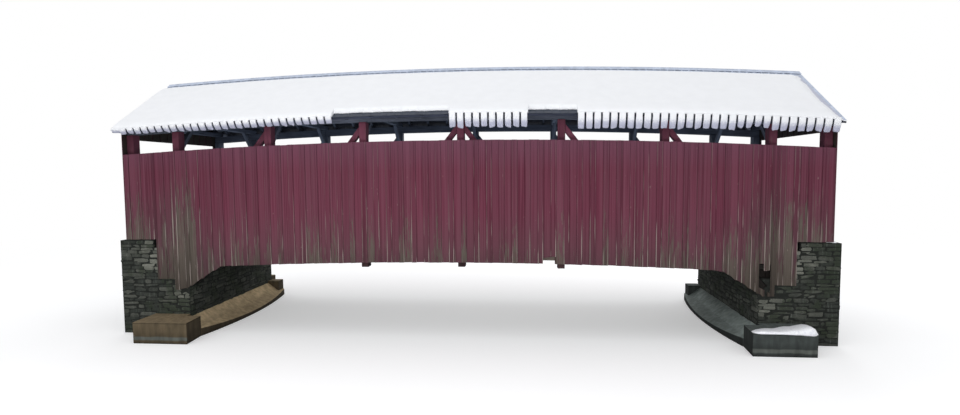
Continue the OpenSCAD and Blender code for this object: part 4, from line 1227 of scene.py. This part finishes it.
class BRIDGE_OT_masonry(Operator):
    """Lays the stones on the faces of both abutments"""
    bl_idname = "bridge.masonry"
    bl_label = "Masonry"

    def execute(self, context):
        sizes, colours = context.scene.bridge_sizes, context.scene.bridge_colours
        dress(("abutment_left", "abutment_right"), wall_heart(colours), 0)
        stone = field_stone(colours)
        high_ledge = LEDGE_Z - float(drop(LEDGE_X))
        high_road = ROAD_Z - float(drop(BACK_X))
        for side, sign in (("left", -1), ("right", 1)):
            # Each face: its start, stop, foot and top, its distance from the middle of the bridge,
            # whether it runs along X, and the way it looks
            faces = [
                (-WALL_Y, WALL_Y, 0, SEAT_Z, FACE_X, False, 1),
                (-WALL_Y, WALL_Y, SEAT_Z, high_ledge, WALL_X, False, 1),
                (-WALL_Y, WALL_Y, 0, high_road, BACK_X, False, -1),
            ]
            for way in (-1, 1):
                faces += [
                    (FACE_X, BACK_X, 0, SEAT_Z, WALL_Y, True, way),
                    (WALL_X, BACK_X, SEAT_Z, high_ledge, WALL_Y, True, way),
                    (LEDGE_X, BACK_X, high_ledge, high_road, WALL_Y, True, way),
                ]
            parts = [
                self.face(sizes, sign, face, 60 + 10 * index + sign) for index, face in enumerate(faces)]
            put(f"stones_{side}", parts, stone)
        return {"FINISHED"}

    def face(self, sizes, sign, face, seed):
        """Flat stones on one face in courses that wander: their heights and lengths are drawn about
        a mean and scaled to fill the face, and no stone covers the pocket of an arch."""
        start, stop, foot, top, fixed, along_x, way = face
        rng = np.random.default_rng(seed)
        count = max(1, round((top - foot) / sizes.stone_height))
        rise = rng.uniform(0.6, 1.5, count)
        level = foot + (top - foot) * np.concatenate([[0], np.cumsum(rise) / rise.sum()])
        per = max(2, round((stop - start) / sizes.stone_length))
        run = rng.uniform(0.4, 1.9, (count, per))
        ends = np.cumsum(run, 1) / run.sum(1, keepdims=True)
        place = start + (stop - start) * np.concatenate([np.zeros((count, 1)), ends], 1)
        left, right = place[:, :-1].ravel(), place[:, 1:].ravel()
        low, high = np.repeat(level[:-1], per), np.repeat(level[1:], per)
        middle = (left + right) / 2
        # The courses rise and fall by a few centimetres, less towards the foot and the top
        free = np.minimum(low - foot, top - high) / (top - foot)
        sway = np.sin(middle * 1.9 + low * 3.1 + seed) + 0.7 * np.sin(middle * 4.3 - low * 6.0)
        sway = 0.10 * free * sway
        gap = rng.uniform(0.002, 0.012, len(left))
        deep = rng.uniform(0.05, 0.07, len(left))
        proud = rng.uniform(0.004, 0.026, len(left))
        if along_x:
            pocket = (left < POCKET_X) & (high > POCKET_Z[0]) & (high <= SEAT_Z + 0.01)
        else:
            reach = np.abs(middle) + (right - left) / 2
            pocket = (reach > POCKET_Y) & (high > POCKET_Z[1]) & (fixed == FACE_X)
        keep = ~pocket
        # Washed stones show near the corners at the stream and beside the siding's ends
        if along_x:
            corner = np.where(low < SEAT_Z, 8.9, 9.95)
            bare = np.clip(1.2 - np.abs(middle - corner) / 0.55, 0, 1)
        else:
            bare = np.clip((np.abs(middle) - 2.2) / 0.5, 0, 1) * 0.4
        bare = bare * (low > 0.85)
        tone = (0.36 if along_x else 0.24) * rng.random(len(left)) ** 2
        tone = tone + bare * rng.random(len(left)) * 0.9
        height = (low + high) / 2 + sway
        half = np.stack([(right - left) / 2 - gap, deep, (high - low) / 2 - gap * 0.6], -1)[keep]
        if along_x:
            out = way * (fixed + proud - deep)
            centre = points_at(sign * middle, out, height)[keep]
            axes = np.array([[1, 0, 0], [0, 1, 0], [0, 0, 1.0]])
        else:
            out = sign * (fixed + way * (deep - proud))
            centre = points_at(out, middle, height)[keep]
            axes = np.array([[0, 1, 0], [1, 0, 0], [0, 0, 1.0]])
        axes = np.broadcast_to(axes, (len(centre), 3, 3))
        points, quads = rounded_stones(centre, half, axes, seed)
        points[:, 2] = np.maximum(points[:, 2], 0)
        if not along_x:
            quads = quads[:, ::-1]
        return points, [quads], {"tone": np.repeat(tone[keep], len(points) // len(centre))}


class BRIDGE_OT_footings(Operator):
    """Finishes the concrete footings, with the snow that lies on the near right block"""
    bl_idname = "bridge.footings"
    bl_label = "Footings"

    def execute(self, context):
        colours = context.scene.bridge_colours
        dress(("footing_left", "footing_right"), cast_concrete(colours), 0.02)
        # Snow on the block: a wedge that widens and deepens away from the stream
        start, stop = 8.25, 9.93
        x = np.linspace(start, stop, 40)
        s = (x - start) / (stop - start)
        tall = np.interp(
            s, [0, 0.04, 0.12, 0.5, 0.72, 0.86, 0.93, 0.98, 1],
            [0.004, 0.04, 0.055, 0.06, 0.10, 0.17, 0.18, 0.12, 0.03])
        tall = tall * (1 + 0.08 * np.sin(9 * x) + 0.05 * np.sin(23 * x))
        back = np.interp(s, [0, 0.1, 0.4, 0.8, 1], [-3.66, -3.45, -3.30, -3.05, -3.0])
        back = back + 0.03 * np.sin(11 * x)
        front = 0.008 - BLOCK_Y + 0.06 * (1 - np.clip(s / 0.06, 0, 1)) ** 2
        over = np.array([0, -0.03, -0.02, 0.06, 0.25, 0.5, 0.75, 0.92, 1.0])
        rise = np.array([-0.35, -0.1, 0.55, 0.95, 1.0, 0.9, 0.62, 0.28, 0])
        y = front[:, None] + (back - front)[:, None] * over
        z = BLOCK_Z - 0.004 + tall[:, None] * rise
        # Its blue-grey, at 0.45, is painted shade on the block's snow
        wedge = tubes(points_at(x[:, None], y, z)[None], ice=0.45)
        snow = bpy.data.materials["settled_snow"]
        put("snow_patches", [wedge, self.lumps()], snow, smooth=True)
        return {"FINISHED"}

    def lumps(self):
        """Lumps of snow on the top edge of the right abutment beside the road, on both sides: rings
        of ten points about a centre, longer along the edge and narrowing upwards, flat at the back."""
        rng = np.random.default_rng(77)
        each = 7
        x = rng.uniform(10.25, 10.98, 2 * each)[:, None, None]
        sign = np.repeat([-1.0, 1.0], each)[:, None, None]
        size = rng.uniform(0.03, 0.07, 2 * each)[:, None, None]
        turn = np.arange(10) * math.pi / 5
        up = np.array([-0.5, 0.1, 0.5, 0.62])[:, None]
        wide = size * np.array([1.0, 1.0, 0.7, 0.2])[:, None]
        x = np.minimum(x + 1.7 * wide * np.cos(turn), BACK_X)
        y = sign * (WALL_Y - 0.055) + 0.8 * wide * np.sin(turn)
        z = ROAD_Z - drop(BACK_X) + size * (0.2 + up)
        return tubes(points_at(x, y, z), ice=0.0)


class BRIDGE_OT_ironwork(Operator):
    """Bolts the arches and the chords to the posts"""
    bl_idname = "bridge.ironwork"
    bl_label = "Ironwork"

    def execute(self, context):
        # Two bolts side by side where the arch crosses a post, and one above the other in the chord
        spots = []
        x = PANEL * np.arange(-2, 3)
        for sign in (-1, 1):
            for y, way in ((2.21, -1), (2.77, 1)):
                for dx in (-0.05, 0.05):
                    spots.append(np.broadcast_arrays(x + dx, sign * y, arch_z(x + dx), sign * way))
        x = PANEL * np.arange(-3, 4)
        for sign in (-1, 1):
            for y, way in ((2.23, -1), (2.75, 1)):
                for dz in (0.10, 0.23):
                    spots.append(np.broadcast_arrays(x, sign * y, CHORD_LOW + dz - drop(x), sign * way))
        x, y, z, way = np.concatenate(spots, 1)
        centre, out = points_at(x, y, z), points_at(0, way, 0)
        washer = studs(centre, out, 0.038, 0.006, sides=12)
        nut = studs(centre + out * 0.004, out, 0.020, 0.022, sides=6)
        put("truss_bolts", [washer, nut], bpy.data.materials["rusty_forged_iron"])
        return {"FINISHED"}


PIECES = (
    BRIDGE_OT_stage, BRIDGE_OT_timbers, BRIDGE_OT_siding, BRIDGE_OT_gables, BRIDGE_OT_deck,
    BRIDGE_OT_roofing, BRIDGE_OT_snow, BRIDGE_OT_masonry, BRIDGE_OT_footings, BRIDGE_OT_ironwork)


class BRIDGE_PT_panel(Panel):
    """Lists the bridge's pieces, sizes and colours"""
    bl_idname = "BRIDGE_PT_panel"
    bl_label = "Covered bridge"
    bl_space_type = "VIEW_3D"
    bl_region_type = "UI"
    bl_category = "Bridge"

    def draw(self, context):
        for piece in PIECES:
            self.layout.operator(piece.bl_idname)
        for group in (context.scene.bridge_sizes, context.scene.bridge_colours):
            box = self.layout.box()
            for key in group.__annotations__:
                box.prop(group, key)


CLASSES = (BridgeSizes, BridgeColours) + PIECES + (BRIDGE_PT_panel,)


def register():
    for kind in CLASSES:
        bpy.utils.register_class(kind)
    bpy.types.Scene.bridge_sizes = PointerProperty(type=BridgeSizes)
    bpy.types.Scene.bridge_colours = PointerProperty(type=BridgeColours)


def unregister():
    del bpy.types.Scene.bridge_colours
    del bpy.types.Scene.bridge_sizes
    for kind in reversed(CLASSES):
        bpy.utils.unregister_class(kind)


def main():
    register()
    for piece in PIECES:
        group, name = piece.bl_idname.split(".")
        getattr(getattr(bpy.ops, group), name)()


if __name__ == "__main__":
    main()
